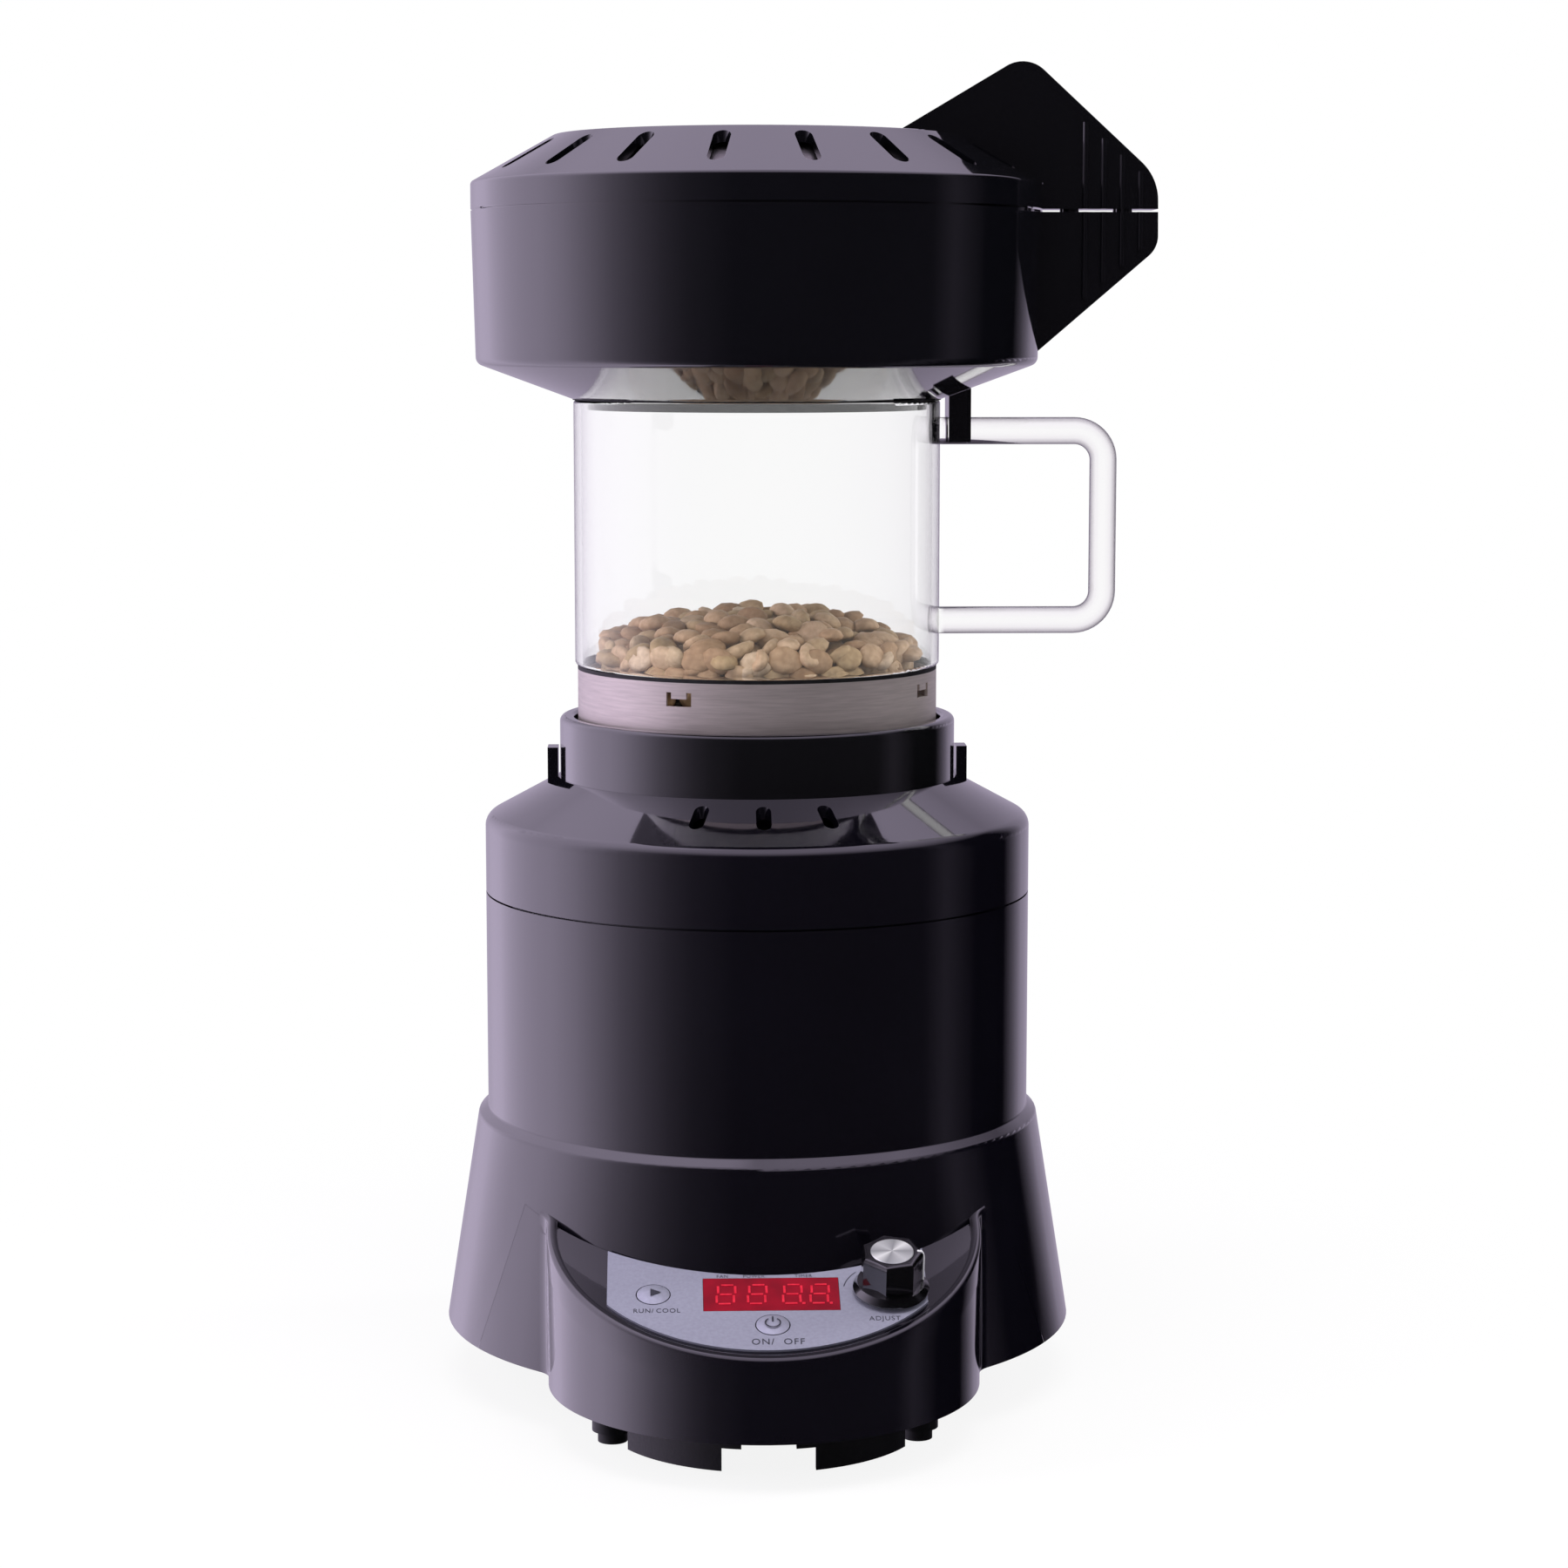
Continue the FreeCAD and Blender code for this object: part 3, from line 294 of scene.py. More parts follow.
# Glass chamber and its loop handle. Hand-joined borosilicate tube and rod, clear and almost
# colourless, with a faint waviness where the rod was bent and fused on.
borosilicate, tree, skin, place = new_finish("borosilicate_glass")
draw_size = 0.02
draw_lines = add_node(tree, "ShaderNodeTexNoise", values={"Scale": 1 / draw_size, "Detail": 1.0},
                      links={"Vector": place.outputs["Object"]})
bump = add_node(tree, "ShaderNodeBump", values={"Strength": 0.08, "Distance": 0.0003},
                links={"Height": draw_lines.outputs["Fac"]})
tree.links.new(bump.outputs["Normal"], skin.inputs["Normal"])
# Painted shade: the glass's colour darkens where it is seen edge-on, to grey at the tube's rims and to near
# black at the rod's edges.
edge_on = add_node(tree, "ShaderNodeLayerWeight", values={"Blend": 0.5})
barrel_edge_shade = add_node(tree, "ShaderNodeValToRGB", links={"Fac": edge_on.outputs["Facing"]})
ramp_stops(barrel_edge_shade, [(0.0, linear("#FEFEFE")), (0.6, linear("#FAF9FB")), (0.85, linear("#D5D1D8")),
                        (1.0, linear("#A8A4AC"))])
rod_edge_shade = add_node(tree, "ShaderNodeValToRGB", links={"Fac": edge_on.outputs["Facing"]})
ramp_stops(rod_edge_shade, [(0.0, linear("#FDFCFD")), (0.16, linear("#F0ECF1")), (0.32, linear("#BDB7C0")),
                      (0.55, linear("#6E6972")), (0.8, linear("#3E3B42")), (1.0, linear("#2E2B31"))])
across = add_node(tree, "ShaderNodeSeparateXYZ", links={"Vector": place.outputs["Object"]})
barrel_reach, rod_start = 0.0502, 0.0515
in_rod = add_node(tree, "ShaderNodeMapRange", values={"From Min": barrel_reach, "From Max": rod_start},
                  links={"Value": across.outputs["X"]})
painted_edge_shades = add_node(tree, "ShaderNodeMix", {"data_type": "RGBA"})
tree.links.new(in_rod.outputs["Result"], painted_edge_shades.inputs[0])
tree.links.new(barrel_edge_shade.outputs["Color"], painted_edge_shades.inputs[6])
tree.links.new(rod_edge_shade.outputs["Color"], painted_edge_shades.inputs[7])
tree.links.new(painted_edge_shades.outputs[2], skin.inputs["Base Color"])
skin.inputs["Transmission Weight"].default_value = 1.0
skin.inputs["IOR"].default_value = 1.47
skin.inputs["Roughness"].default_value = 0.0
dress(borosilicate, "chamber_glass")
glass_object = nodes["chamber_glass"]
glass_object.visible_shadow = False
glass_object.visible_diffuse = False

# Steel ring and air plate. Stainless strip, rolled and brushed round, so each reflection
# stretches up and down, with the lap of the strip spot-welded at the right.


def brushed_steel(name, colour, streak, roughness, metal=1.0):
    """Steel brushed round its axis. Streak is the spacing of the brush lines in metres."""
    material, tree, skin, place = new_finish(name)
    long_lines = add_node(tree, "ShaderNodeMapping", values={"Scale": (0.06, 0.06, 1.0)},
                          links={"Vector": place.outputs["Object"]})
    lines = add_node(tree, "ShaderNodeTexNoise", values={"Scale": 1 / streak, "Detail": 3.0},
                     links={"Vector": long_lines.outputs["Vector"]})
    shades = add_node(tree, "ShaderNodeValToRGB", links={"Fac": lines.outputs["Fac"]})
    base = linear(colour)
    ramp_stops(shades, [(0.3, tuple(c * 0.8 for c in base[:3]) + (1.0,)), (0.7, base)])
    rough = add_node(tree, "ShaderNodeMapRange",
                     values={"To Min": roughness - 0.06, "To Max": roughness + 0.1},
                     links={"Value": lines.outputs["Fac"]})
    bump = add_node(tree, "ShaderNodeBump", values={"Strength": 0.2, "Distance": 0.00008},
                    links={"Height": lines.outputs["Fac"]})
    tree.links.new(shades.outputs["Color"], skin.inputs["Base Color"])
    tree.links.new(rough.outputs["Result"], skin.inputs["Roughness"])
    tree.links.new(bump.outputs["Normal"], skin.inputs["Normal"])
    skin.inputs["Metallic"].default_value = metal
    return material


dress(brushed_steel("stainless_brushed", "#CCC1BF", 0.0006, 0.42, 0.68), "chamber_ring")
dress(brushed_steel("stainless_sheet", "#C9C4C4", 0.0006, 0.36),
      "diffuser_plate", "lid_screen", "heater_tube")
dress(brushed_steel("plated_steel", "#A9A9AA", 0.0009, 0.3), "blower_motor", "fan_shaft", "encoder_shaft",
      "funnel_screws", "board_screws", "heater_coil")
dress(brushed_steel("extruded_aluminium", "#C9CACC", 0.001, 0.32), "heat_sink")
dress(brushed_steel("sintered_bronze", "#9A7440", 0.0007, 0.4), "motor_bush")

# Beans. About a hundred grams of unroasted arabica: matt, green-tan seeds with a flat face and a
# crease, each a slightly different shade. They lie in a dome on the air plate.
random.seed(7)
bean_low, bean_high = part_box("bean_charge")
heap_radius = bean_high.x - 0.0006
crown_z = bean_high.z
plate_z = bean_low.z
bean_half = (0.0049, 0.0039, 0.0030)
face_flattening, end_taper = 0.55, 0.12
crease_width, crease_depth, crease_sway = 0.16, 0.26, 0.06

bpy.ops.mesh.primitive_ico_sphere_add(subdivisions=2, radius=1.0)
seed_bean = bpy.context.object
seed_bean.name = "seed_bean"
for vertex in seed_bean.data.vertices:
    x, y, z = vertex.co
    if z > 0.0:
        crease = math.exp(-(y / crease_width) ** 2)
        z = z * face_flattening - crease_depth * crease * max(0.0, 1 - x * x)
        y = y + crease_sway * math.sin(3 * x) * crease
    vertex.co = (x * bean_half[0], y * bean_half[1] * (1 - end_taper * x), z * bean_half[2])
bpy.ops.object.shade_smooth()

heap = []


def lay_bean(x, y, z, spin, tip, roll, size):
    """Copies the seed bean to a place in the heap, turned about all three axes."""
    bean = seed_bean.copy()
    bean.data = seed_bean.data.copy()
    bpy.context.collection.objects.link(bean)
    turn = Matrix.Rotation(spin, 4, "Z") @ Matrix.Rotation(tip, 4, "Y") @ Matrix.Rotation(roll, 4, "X")
    bean.data.transform(Matrix.Translation((x, y, z)) @ turn @ Matrix.Diagonal((size, size, size, 1)))
    shade = bean.data.attributes.new("shade", "FLOAT", "POINT")
    value = random.random()
    for item in shade.data:
        item.value = value
    heap.append(bean)


edge_height, dome_power = 0.014, 2.4


def heap_height(radius):
    """The dome's height at a distance from the axis."""
    return crown_z - (crown_z - plate_z - edge_height) * (radius / heap_radius) ** dome_power


def join_up(pieces):
    """Joins pieces into the first of them."""
    bpy.ops.object.select_all(action="DESELECT")
    for piece in pieces:
        piece.select_set(True)
    bpy.context.view_layer.objects.active = pieces[0]
    bpy.ops.object.join()
    return pieces[0]


golden_angle = math.pi * (3 - math.sqrt(5))
dome_layers = ((140, 0.0030), (110, 0.0070))
dome_gap, scatter, most_lift = 0.0042, 0.0012, 0.0016
for layer, (count, sink) in enumerate(dome_layers):
    for index in range(count):
        radius = (heap_radius - dome_gap) * math.sqrt((index + 0.5) / count)
        angle = index * golden_angle + layer
        radius += random.uniform(-scatter, scatter)
        z = heap_height(radius) - sink + random.uniform(-scatter, most_lift)
        roll = random.choice((0.0, math.pi, math.pi, 0.9, -0.9)) + random.uniform(-0.5, 0.5)
        lay_bean(radius * math.cos(angle), radius * math.sin(angle), z, random.uniform(0, 2 * math.pi),
                 random.uniform(-0.45, 0.45), roll, random.uniform(0.86, 1.12))
wall_rows, wall_count = 3, 31
wall_gap, first_rise, row_rise = 0.0046, 0.0042, 0.0048
for row in range(wall_rows):
    for index in range(wall_count):
        angle = 2 * math.pi * (index + 0.5 * row) / wall_count + random.uniform(-0.04, 0.04)
        radius = heap_radius - wall_gap
        z = plate_z + first_rise + row * row_rise + random.uniform(-0.0006, 0.0006)
        lay_bean(radius * math.cos(angle), radius * math.sin(angle), z, angle + math.pi / 2,
                 random.uniform(-0.5, 0.5), math.pi / 2 + random.uniform(-0.4, 0.4),
                 random.uniform(0.86, 1.05))
beans = join_up(heap)
beans.name = "green_beans"
bpy.data.objects.remove(seed_bean)

raw_bean, tree, skin, place = new_finish("raw_bean_skin")
own_shade = add_node(tree, "ShaderNodeAttribute", {"attribute_name": "shade"})
bean_tones = add_node(tree, "ShaderNodeValToRGB", links={"Fac": own_shade.outputs["Fac"]})
ramp_stops(bean_tones, [(0.0, linear("#A88866")), (0.3, linear("#C4A480")), (0.6, linear("#D8BC9A")),
                        (0.85, linear("#B89E74")), (1.0, linear("#E4CDAF"))])
silverskin_size = 0.0016
silverskin = add_node(tree, "ShaderNodeTexNoise", values={"Scale": 1 / silverskin_size, "Detail": 4.0},
                      links={"Vector": place.outputs["Object"]})
flakes = add_node(tree, "ShaderNodeMix", {"data_type": "RGBA", "blend_type": "MULTIPLY"})
flakes.inputs[0].default_value = 0.55
mottle = add_node(tree, "ShaderNodeValToRGB", links={"Fac": silverskin.outputs["Fac"]})
ramp_stops(mottle, [(0.3, linear("#B8A894")), (0.7, linear("#FFFFFF"))])
tree.links.new(bean_tones.outputs["Color"], flakes.inputs[6])
tree.links.new(mottle.outputs["Color"], flakes.inputs[7])
bump = add_node(tree, "ShaderNodeBump", values={"Strength": 0.35, "Distance": 0.0003},
                links={"Height": silverskin.outputs["Fac"]})
tree.links.new(flakes.outputs[2], skin.inputs["Base Color"])
tree.links.new(bump.outputs["Normal"], skin.inputs["Normal"])
skin.inputs["Roughness"].default_value = 0.55
beans.data.materials.clear()
beans.data.materials.append(raw_bean)
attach(beans, "chamber")
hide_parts("bean_charge")

# Bezel edge. The bumper's rim is rolled over, and its sides run into the skirt in hollow blends, so
# a rounded bead follows the sharp edge of the solid and a curved wedge fills each side.
panel_slope = math.radians(19.5)
panel_origin = Vector((0, -0.118, 0.0334))
bumper_radius = 57.0
bumper_y = -61.5
blend_radius = 8.0
skirt_base_radius, skirt_base_z, skirt_lean = 86.7, 16.0, (86.7 - 77.6) / 57.5
rim_over_panel = 1.2 / math.cos(panel_slope)
front_steps, blend_steps = 48, 10


def skirt_radius(z):
    """The skirt's radius at a height, in millimetres."""
    return skirt_base_radius - (z - skirt_base_z) * skirt_lean


def rim_z(y):
    """The height of the solid's rim over a place on the panel's plane, in millimetres."""
    return panel_origin.z * 1000 + (y - panel_origin.y * 1000) * math.tan(panel_slope) + rim_over_panel


def blend_arc(z):
    """Places and outward ways along one hollow blend, from the bumper to the skirt, at a height."""
    far = skirt_radius(z) + blend_radius
    near = bumper_radius + blend_radius
    y = (far ** 2 - near ** 2 + bumper_y ** 2) / (2 * bumper_y)
    x = math.sqrt(far ** 2 - y ** 2)
    first = math.atan2(bumper_y - y, -x) % (2 * math.pi)
    last = math.atan2(-y, -x)
    ways = [first + (last - first) * step / blend_steps for step in range(blend_steps + 1)]
    return [(x + blend_radius * math.cos(way), y + blend_radius * math.sin(way),
             -math.cos(way), -math.sin(way)) for way in ways]


def loft(rings):
    """Faces between rings of points that lie one after another, with both ends closed."""
    size = len(rings[0])
    faces = []
    for ring in range(len(rings) - 1):
        for index in range(size):
            after = (index + 1) % size
            faces.append((ring * size + index, ring * size + after,
                          (ring + 1) * size + after, (ring + 1) * size + index))
    faces.append(tuple(reversed(range(size))))
    faces.append(tuple((len(rings) - 1) * size + index for index in range(size)))
    return faces


def loft_piece(name, rings, body, material):
    """A piece lofted through rings of points in millimetres, with its material, on its body."""
    mesh = bpy.data.meshes.new(name)
    points = [(x / 1000, y / 1000, z / 1000) for ring in rings for x, y, z in ring]
    mesh.from_pydata(points, [], loft(rings))
    piece = bpy.data.objects.new(name, mesh)
    bpy.context.collection.objects.link(piece)
    bpy.ops.object.select_all(action="DESELECT")
    piece.select_set(True)
    bpy.context.view_layer.objects.active = piece
    bpy.ops.object.mode_set(mode="EDIT")
    bpy.ops.mesh.select_all(action="SELECT")
    bpy.ops.mesh.normals_make_consistent(inside=False)
    bpy.ops.object.mode_set(mode="OBJECT")
    bpy.ops.object.shade_smooth_by_angle(angle=math.radians(35))
    mesh.materials.append(material)
    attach(piece, body)
    return piece


bead_round, bead_proud, bead_sink, bead_skirt = 1.05, 0.15, 0.55, 7.0
bead_profile = [(-bead_proud, -bead_skirt), (-bead_proud, -bead_sink)]
for degrees in range(15, 91, 15):
    way = math.radians(degrees)
    bead_profile.append((bead_round * (1 - math.cos(way)) - bead_proud,
                         bead_round * math.sin(way) - bead_sink))
bead_profile += [(1.8, 0.42), (2.3, 0.2), (2.6, -0.3), (2.6, -3.0)]
right_blend = blend_arc(rim_z(bumper_y))
right_side = math.atan2(right_blend[0][1] - bumper_y, right_blend[0][0])
half_path = []
for step in range(front_steps):
    way = -math.pi / 2 + (right_side + math.pi / 2) * step / front_steps
    out_x, out_y = math.cos(way), math.sin(way)
    half_path.append((bumper_radius * out_x, bumper_y + bumper_radius * out_y, out_x, out_y))
half_path += right_blend
rim_path = [(-x, y, -out_x, out_y) for x, y, out_x, out_y in reversed(half_path[1:])] + half_path
bead_rings = []
for x, y, out_x, out_y in rim_path:
    ring = []
    for inward, rise in bead_profile:
        ring_y = y - out_y * inward
        ring.append((x - out_x * inward, ring_y, rim_z(ring_y) + rise))
    bead_rings.append(ring)
loft_piece("bezel_rim_bead", bead_rings, "base", housing_gloss)

wedge_levels, rim_clearance = 12, 0.6
tuck_side, tuck_back = 3.0, 2.0
wedge_top = rim_z(blend_arc(skirt_base_z + 0.05)[0][1]) - rim_clearance
for side, name in ((-1, "left_blend"), (1, "right_blend")):
    wedge_rings = []
    for level in range(wedge_levels + 1):
        z = skirt_base_z + (wedge_top - skirt_base_z) * level / wedge_levels
        outline = [point[:2] for point in blend_arc(z)]
        outline += [(x - tuck_side, y + tuck_back) for x, y in (outline[-1], outline[0])]
        wedge_rings.append([(side * x, y, min(z, rim_z(y) - rim_clearance)) for x, y in outline])
    loft_piece(name, wedge_rings, "base", housing_gloss)

# Control panel. A printed polyester film lies in the bezel's recess. Its ground is a satin
# silver-lilac; words and signs are screen-printed dark grey and stand a hair above the film.
film_top, print_gap = 0.6, 0.03
print_rise = 0.00004


def on_panel(x, up, out=0.0):
    """A place on the panel: across, up the slope and out of it, in millimetres."""
    up_way = Vector((0, math.cos(panel_slope), math.sin(panel_slope)))
    out_way = Vector((0, -math.sin(panel_slope), math.cos(panel_slope)))
    return panel_origin + Vector((x / 1000, 0, 0)) + up_way * (up / 1000) + out_way * (out / 1000)


printed_film, tree, skin, place = new_finish("printed_film_silver")
satin_size = 0.0009
speckle(tree, skin, place, satin_size, 2.0, ((0.3, "#9A9AAE"), (0.75, "#A4A4B8")), (0.2, 0.00005))
skin.inputs["Roughness"].default_value = 0.38
skin.inputs["Metallic"].default_value = 0.25
dress(printed_film, "control_overlay", "run_button", "power_button")

screen_pitch = 0.00025
print_ink, tree, skin, place = new_finish("screen_print_ink")
speckle(tree, skin, place, screen_pitch, 2.0, ((0.3, "#2B2B33"), (0.7, "#3B3B46")))
skin.inputs["Roughness"].default_value = 0.5


def settle(piece, name, body, material):
    """Applies a piece's place to its mesh, names it and puts it on its body."""
    bpy.ops.object.select_all(action="DESELECT")
    piece.select_set(True)
    bpy.context.view_layer.objects.active = piece
    bpy.ops.object.transform_apply(location=True, rotation=True, scale=True)
    piece.name = name
    piece.data.materials.clear()
    piece.data.materials.append(material)
    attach(piece, body)


words = (("FAN", -11.4, 37.7, 1.1), ("POWER", -3.3, 37.7, 1.1), ("TIMER", 9.5, 37.7, 1.1),
         ("RUN/", -31.7, 22.8, 1.5), ("COOL", -25.4, 22.8, 1.5), ("ON/", -1.7, 9.0, 2.1),
         ("OFF", 6.2, 9.0, 2.1), ("ADJUST", 29.5, 18.6, 1.55))
size_per_height, letter_spacing, letter_stretch = 1.35, 1.15, 1.25
for word, x, up, height in words:
    bpy.ops.object.text_add(location=on_panel(x, up, film_top + print_gap), rotation=(panel_slope, 0, 0))
    label = bpy.context.object
    label.data.body = word
    label.data.align_x = "CENTER"
    label.data.align_y = "CENTER"
    label.data.size = height * size_per_height / 1000
    label.data.space_character = letter_spacing
    label.data.extrude = print_rise / 2
    label.scale = (1.0, letter_stretch, 1.0)
    bpy.ops.object.convert(target="MESH")
    settle(label, "print_" + word.strip("/").lower(), "base", print_ink)

# Sign of the run key. A small solid triangle that points right, screen-printed in the same dark
# ink on the key's shallow dome, so it moves with the key.
key_top, play_radius = 1.78, 0.0018
run_x, run_up = -29.0, 29.4
bpy.ops.mesh.primitive_circle_add(vertices=3, radius=play_radius, fill_type="NGON",
                                  location=on_panel(run_x, run_up, key_top))
play_sign = bpy.context.object
pointing_right = Matrix.Rotation(-math.pi / 2, 3, "Z")
play_sign.rotation_euler = (Matrix.Rotation(panel_slope, 3, "X") @ pointing_right).to_euler()
bpy.ops.object.mode_set(mode="EDIT")
bpy.ops.mesh.select_all(action="SELECT")
bpy.ops.mesh.extrude_region_move(TRANSFORM_OT_translate={"value": (0, 0, print_rise)})
bpy.ops.object.mode_set(mode="OBJECT")
settle(play_sign, "print_play_sign", "run_key", print_ink)

# Sign of the power key. A ring that is open at the top, with a short bar in the gap, printed as
# the other sign is. The ring starts whole and loses the part where the gap lies.


def open_ring(radius, thickness, segments, kept):
    """A thin ring of ink in metres, of which only the angles in degrees that are kept stay."""
    bpy.ops.mesh.primitive_torus_add(major_segments=segments, minor_segments=6, major_radius=radius,
                                     minor_radius=thickness / 2, location=(0, 0, 0))
    ring = bpy.context.object
    bpy.ops.object.mode_set(mode="EDIT")
    bpy.ops.mesh.select_all(action="DESELECT")
    bpy.ops.object.mode_set(mode="OBJECT")
    for vertex in ring.data.vertices:
        angle = math.degrees(math.atan2(vertex.co.y, vertex.co.x))
        vertex.select = not kept(angle)
    bpy.ops.object.mode_set(mode="EDIT")
    bpy.ops.mesh.delete(type="VERT")
    bpy.ops.mesh.select_all(action="SELECT")
    bpy.ops.mesh.fill_holes(sides=8)
    bpy.ops.object.mode_set(mode="OBJECT")
    return ring


sign_radius, stroke, half_gap = 0.0019, 0.0004, 32
power_x, power_up = 1.0, 15.8
standby_ring = open_ring(sign_radius, stroke, 40, lambda angle: abs(angle - 90) >= half_gap)
bpy.ops.mesh.primitive_cube_add(size=1.0, location=(0, sign_radius * 0.75, 0),
                                scale=(stroke, sign_radius * 1.1, stroke))
bar = bpy.context.object
bpy.ops.object.transform_apply(location=True, rotation=True, scale=True)
standby = join_up([standby_ring, bar])
standby.scale = (1, 1, 0.3)
standby.location = on_panel(power_x, power_up, key_top)
standby.rotation_euler = (panel_slope, 0, 0)
settle(standby, "print_standby_sign", "power_key", print_ink)

# Arc mark beside the knob, which shows that it turns. A thin line of the same ink on the film,
# centred on the knob's axis.
knob_x, knob_up = 31.7, 30.5
arc_radius, arc_stroke = 0.0122, 0.00026
turn_mark = open_ring(arc_radius, arc_stroke, 96, lambda angle: 135 < angle < 172)
turn_mark.scale = (1, 1, 0.25)
turn_mark.location = on_panel(knob_x, knob_up, film_top + print_gap)
turn_mark.rotation_euler = (panel_slope, 0, 0)
settle(turn_mark, "print_turn_mark", "base", print_ink)

# Display. Four seven-segment digits stand behind a red acrylic window. The lit ones are only
# dimly brighter than the window, which is smooth, deep red and slightly glowing.
red_acrylic, tree, skin, place = new_finish("red_acrylic")
depth_size = 0.005556
_, shades = speckle(tree, skin, place, depth_size, 1.0, ((0.3, "#7A0016"), (0.7, "#8E001B")))
tree.links.new(shades.outputs["Color"], skin.inputs["Emission Color"])
# Painted glow: the window is no lamp, yet it shines faintly in its own red.
skin.inputs["Emission Strength"].default_value = 0.08
skin.inputs["Roughness"].default_value = 0.12
dress(red_acrylic, "display_window")

lit_segment, tree, skin, place = new_finish("lit_segment")
glow_size = 0.001111
_, shades = speckle(tree, skin, place, glow_size, 1.0, ((0.3, "#C81A34"), (0.7, "#DB2A42")))
tree.links.new(shades.outputs["Color"], skin.inputs["Emission Color"])
skin.inputs["Emission Strength"].default_value = 0.12
digit_height, digit_width, digit_lean = 8.2, 4.4, 0.1
segment_wide, segment_thick, segment_round = 0.62, 0.03, 0.12
flat_gap, upright_gap, point_size = 1.3, 0.9, 0.8
digit_places, point_places = (-10.6, -2.6, 6.4, 13.4), (9.6, 16.6)
digits_up, digits_out = 29.7, 0.62
segment_list = []
for centre_x in digit_places:
    for level in (-1, 0, 1):
        segment_list.append((centre_x, level * digit_height / 2, digit_width - flat_gap, segment_wide))
    for side in (-1, 1):
        for half in (-1, 1):
            segment_list.append((centre_x + side * digit_width / 2, half * digit_height / 4,
                                 segment_wide, digit_height / 2 - upright_gap))
for point_x in point_places:
    segment_list.append((point_x, -digit_height / 2, point_size, point_size))
bars = []
for x, y, wide, tall in segment_list:
    bpy.ops.mesh.primitive_cube_add(size=1.0, scale=(wide / 1000, tall / 1000, segment_thick / 1000),
                                    location=((x + digit_lean * y) / 1000, y / 1000, 0))
    bpy.ops.object.transform_apply(location=True, rotation=True, scale=True)
    bars.append(bpy.context.object)
digits = join_up(bars)
bpy.ops.object.mode_set(mode="EDIT")
bpy.ops.mesh.select_all(action="SELECT")
bpy.ops.mesh.bevel(offset=segment_round / 1000, segments=2, affect="EDGES")
bpy.ops.object.mode_set(mode="OBJECT")
digits.location = on_panel(0.0, digits_up, digits_out)
digits.rotation_euler = (panel_slope, 0, 0)
settle(digits, "display_digits", "base", lit_segment)

# Knob. Black phenolic, moulded with seven scallops round its grip, a spun aluminium disc let into
# its top and a white-filled pointer line down its side.
phenolic = polished_abs("black_phenolic", "#060607", 0.12, 0.1)
knob_stand = 1.5
lobe_count, lobe_radius, scallop_depth = 7, 8.3, 0.95
knob_rise, disc_radius = 11.4, 5.5
steps_per_lobe, scallop_power = 16, 0.8
pocket_gap, pocket_depth = 0.1, 0.5
knob_steps = lobe_count * steps_per_lobe
skirt_profile = [(3.1, 0.0), (9.6, 0.0), (9.8, 0.25), (9.8, 0.7), (9.5, 1.1), (9.0, 1.7), (8.7, 2.4)]
grip_profile = [(0.0, 2.5), (0.0, 9.8), (0.06, 10.5), (0.28, 11.0), (0.65, 11.3), (1.1, knob_rise)]
knob_rings = []
for radius, rise in skirt_profile:
    knob_rings.append([(radius, rise)] * knob_steps)
for inward, rise in grip_profile:
    ring = []
    for step in range(knob_steps):
        scallop = abs(math.sin(lobe_count * math.pi * step / knob_steps)) ** scallop_power
        ring.append((lobe_radius - inward - scallop_depth * scallop, rise))
    knob_rings.append(ring)
for rise in (knob_rise, knob_rise - pocket_depth):
    knob_rings.append([(disc_radius + pocket_gap, rise)] * knob_steps)


def over_knob(rings):
    """Rings of (radius, rise) round the knob's axis as rings of points in millimetres."""
    placed = []
    for ring in rings:
        placed.append([])
        for step, (radius, rise) in enumerate(ring):
            way = 2 * math.pi * step / len(ring)
            spot = on_panel(knob_x + radius * math.cos(way), knob_up + radius * math.sin(way),
                            knob_stand + rise)
            placed[-1].append(tuple(spot * 1000))
    return placed


knob_body = loft_piece("fluted_knob", over_knob(knob_rings), "knob_turn", phenolic)
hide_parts("adjust_knob")
spun_disc, tree, skin, place = new_finish("spun_aluminium")
knob_centre = on_panel(knob_x, knob_up, knob_stand + knob_rise)
to_disc = add_node(tree, "ShaderNodeMapping", {"vector_type": "TEXTURE"},
                   {"Location": tuple(knob_centre), "Rotation": (panel_slope, 0, 0)},
                   {"Vector": place.outputs["Object"]})
# Painted highlights: bright and dull wedges round the disc's centre stand in for the glints that light
# draws on its turned grooves.
wedge = add_node(tree, "ShaderNodeTexGradient", {"gradient_type": "RADIAL"},
                 links={"Vector": to_disc.outputs["Vector"]})
painted_glints = add_node(tree, "ShaderNodeValToRGB", links={"Fac": wedge.outputs["Fac"]})
glint_bright, glint_dull = linear("#FAFAFC"), linear("#A0A0A6")
ramp_stops(painted_glints, [(0.0, glint_dull), (0.1, glint_bright), (0.2, glint_dull), (0.36, linear("#D2D2D6")), (0.5, glint_dull),
                    (0.62, glint_bright), (0.72, glint_dull), (0.88, linear("#D2D2D6")), (1.0, glint_dull)])
turning_pitch, wave_period = 0.0004, 0.314
grooves = add_node(tree, "ShaderNodeTexWave", {"wave_type": "RINGS", "rings_direction": "Z"},
                   {"Scale": wave_period / turning_pitch, "Distortion": 0.0},
                   {"Vector": to_disc.outputs["Vector"]})
bump = add_node(tree, "ShaderNodeBump", values={"Strength": 0.2, "Distance": 0.00005},
                links={"Height": grooves.outputs["Fac"]})
tree.links.new(painted_glints.outputs["Color"], skin.inputs["Base Color"])
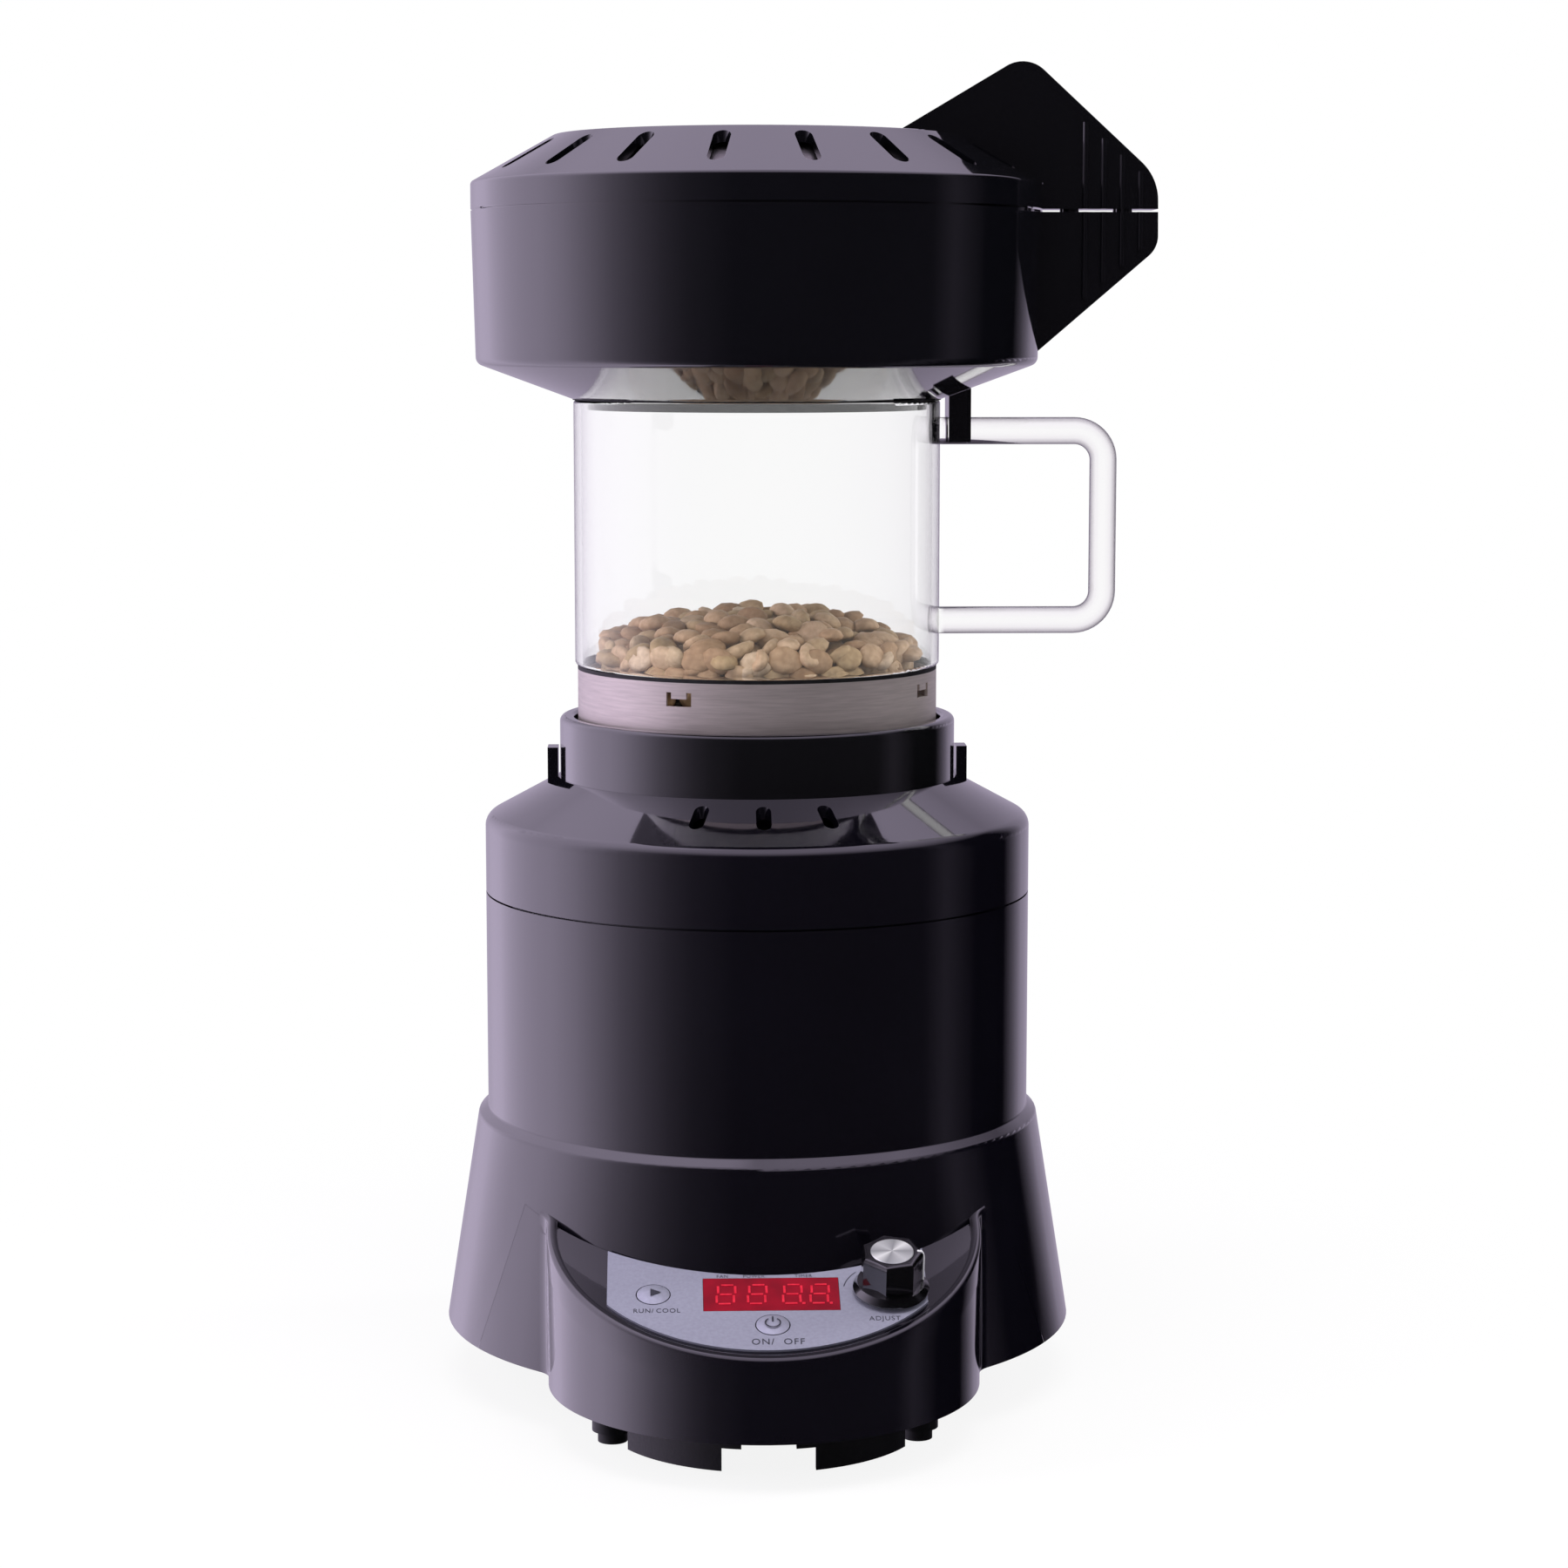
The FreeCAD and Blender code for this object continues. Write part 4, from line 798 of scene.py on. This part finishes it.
tree.links.new(bump.outputs["Normal"], skin.inputs["Normal"])
skin.inputs["Metallic"].default_value = 0.4
skin.inputs["Roughness"].default_value = 0.35
disc_profile = ((disc_radius, knob_rise - 0.45), (disc_radius, knob_rise - 0.05),
                (disc_radius - 0.2, knob_rise + 0.1), (2.0, knob_rise + 0.16), (0.4, knob_rise + 0.18))
disc_steps = 72
disc_rings = over_knob([[spot] * disc_steps for spot in disc_profile])
disc_piece = loft_piece("spun_disc", disc_rings, "knob_turn", spun_disc)
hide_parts("knob_cap")
white_fill = polished_abs("white_filled_line", "#D8D8DC", 0.35, 0.1)
line_outline = ((8.05, 2.8), (8.42, 2.8), (8.42, 9.8), (8.2, 10.7), (7.6, 11.45), (6.4, 11.55), (6.4, 11.2),
                (7.8, 9.8))
line_half = 0.35
line_rings = [[tuple(on_panel(knob_x + reach, knob_up + across, knob_stand + rise) * 1000)
               for reach, rise in line_outline] for across in (-line_half, line_half)]
line_piece = loft_piece("pointer_line", line_rings, "knob_turn", white_fill)
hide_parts("knob_pointer")

# Inner pieces that show only through slots or when the part is taken apart: epoxy board, switch
# and sensor cases, and mica.


def matt_board(name, colour, second, patch):
    """A matt sheet or case in two tones, mottled in patches of a size in metres."""
    material, tree, skin, place = new_finish(name)
    cells = add_node(tree, "ShaderNodeTexVoronoi", values={"Scale": 1 / patch},
                     links={"Vector": place.outputs["Object"]})
    shades = add_node(tree, "ShaderNodeValToRGB", links={"Fac": cells.outputs["Distance"]})
    ramp_stops(shades, [(0.1, linear(colour)), (0.6, linear(second))])
    tree.links.new(shades.outputs["Color"], skin.inputs["Base Color"])
    skin.inputs["Roughness"].default_value = 0.5
    return material


dress(matt_board("green_epoxy_board", "#0E3A22", "#15502F", 0.003), "panel_board", "power_board")
dress(matt_board("black_case", "#111113", "#1B1B1E", 0.002), "display_module", "button_switches",
      "encoder_body", "encoder_plunger", "thermostat", "thermal_fuse")
dress(matt_board("mica_sheet", "#8C7A58", "#A8956E", 0.005), "mica_cross")
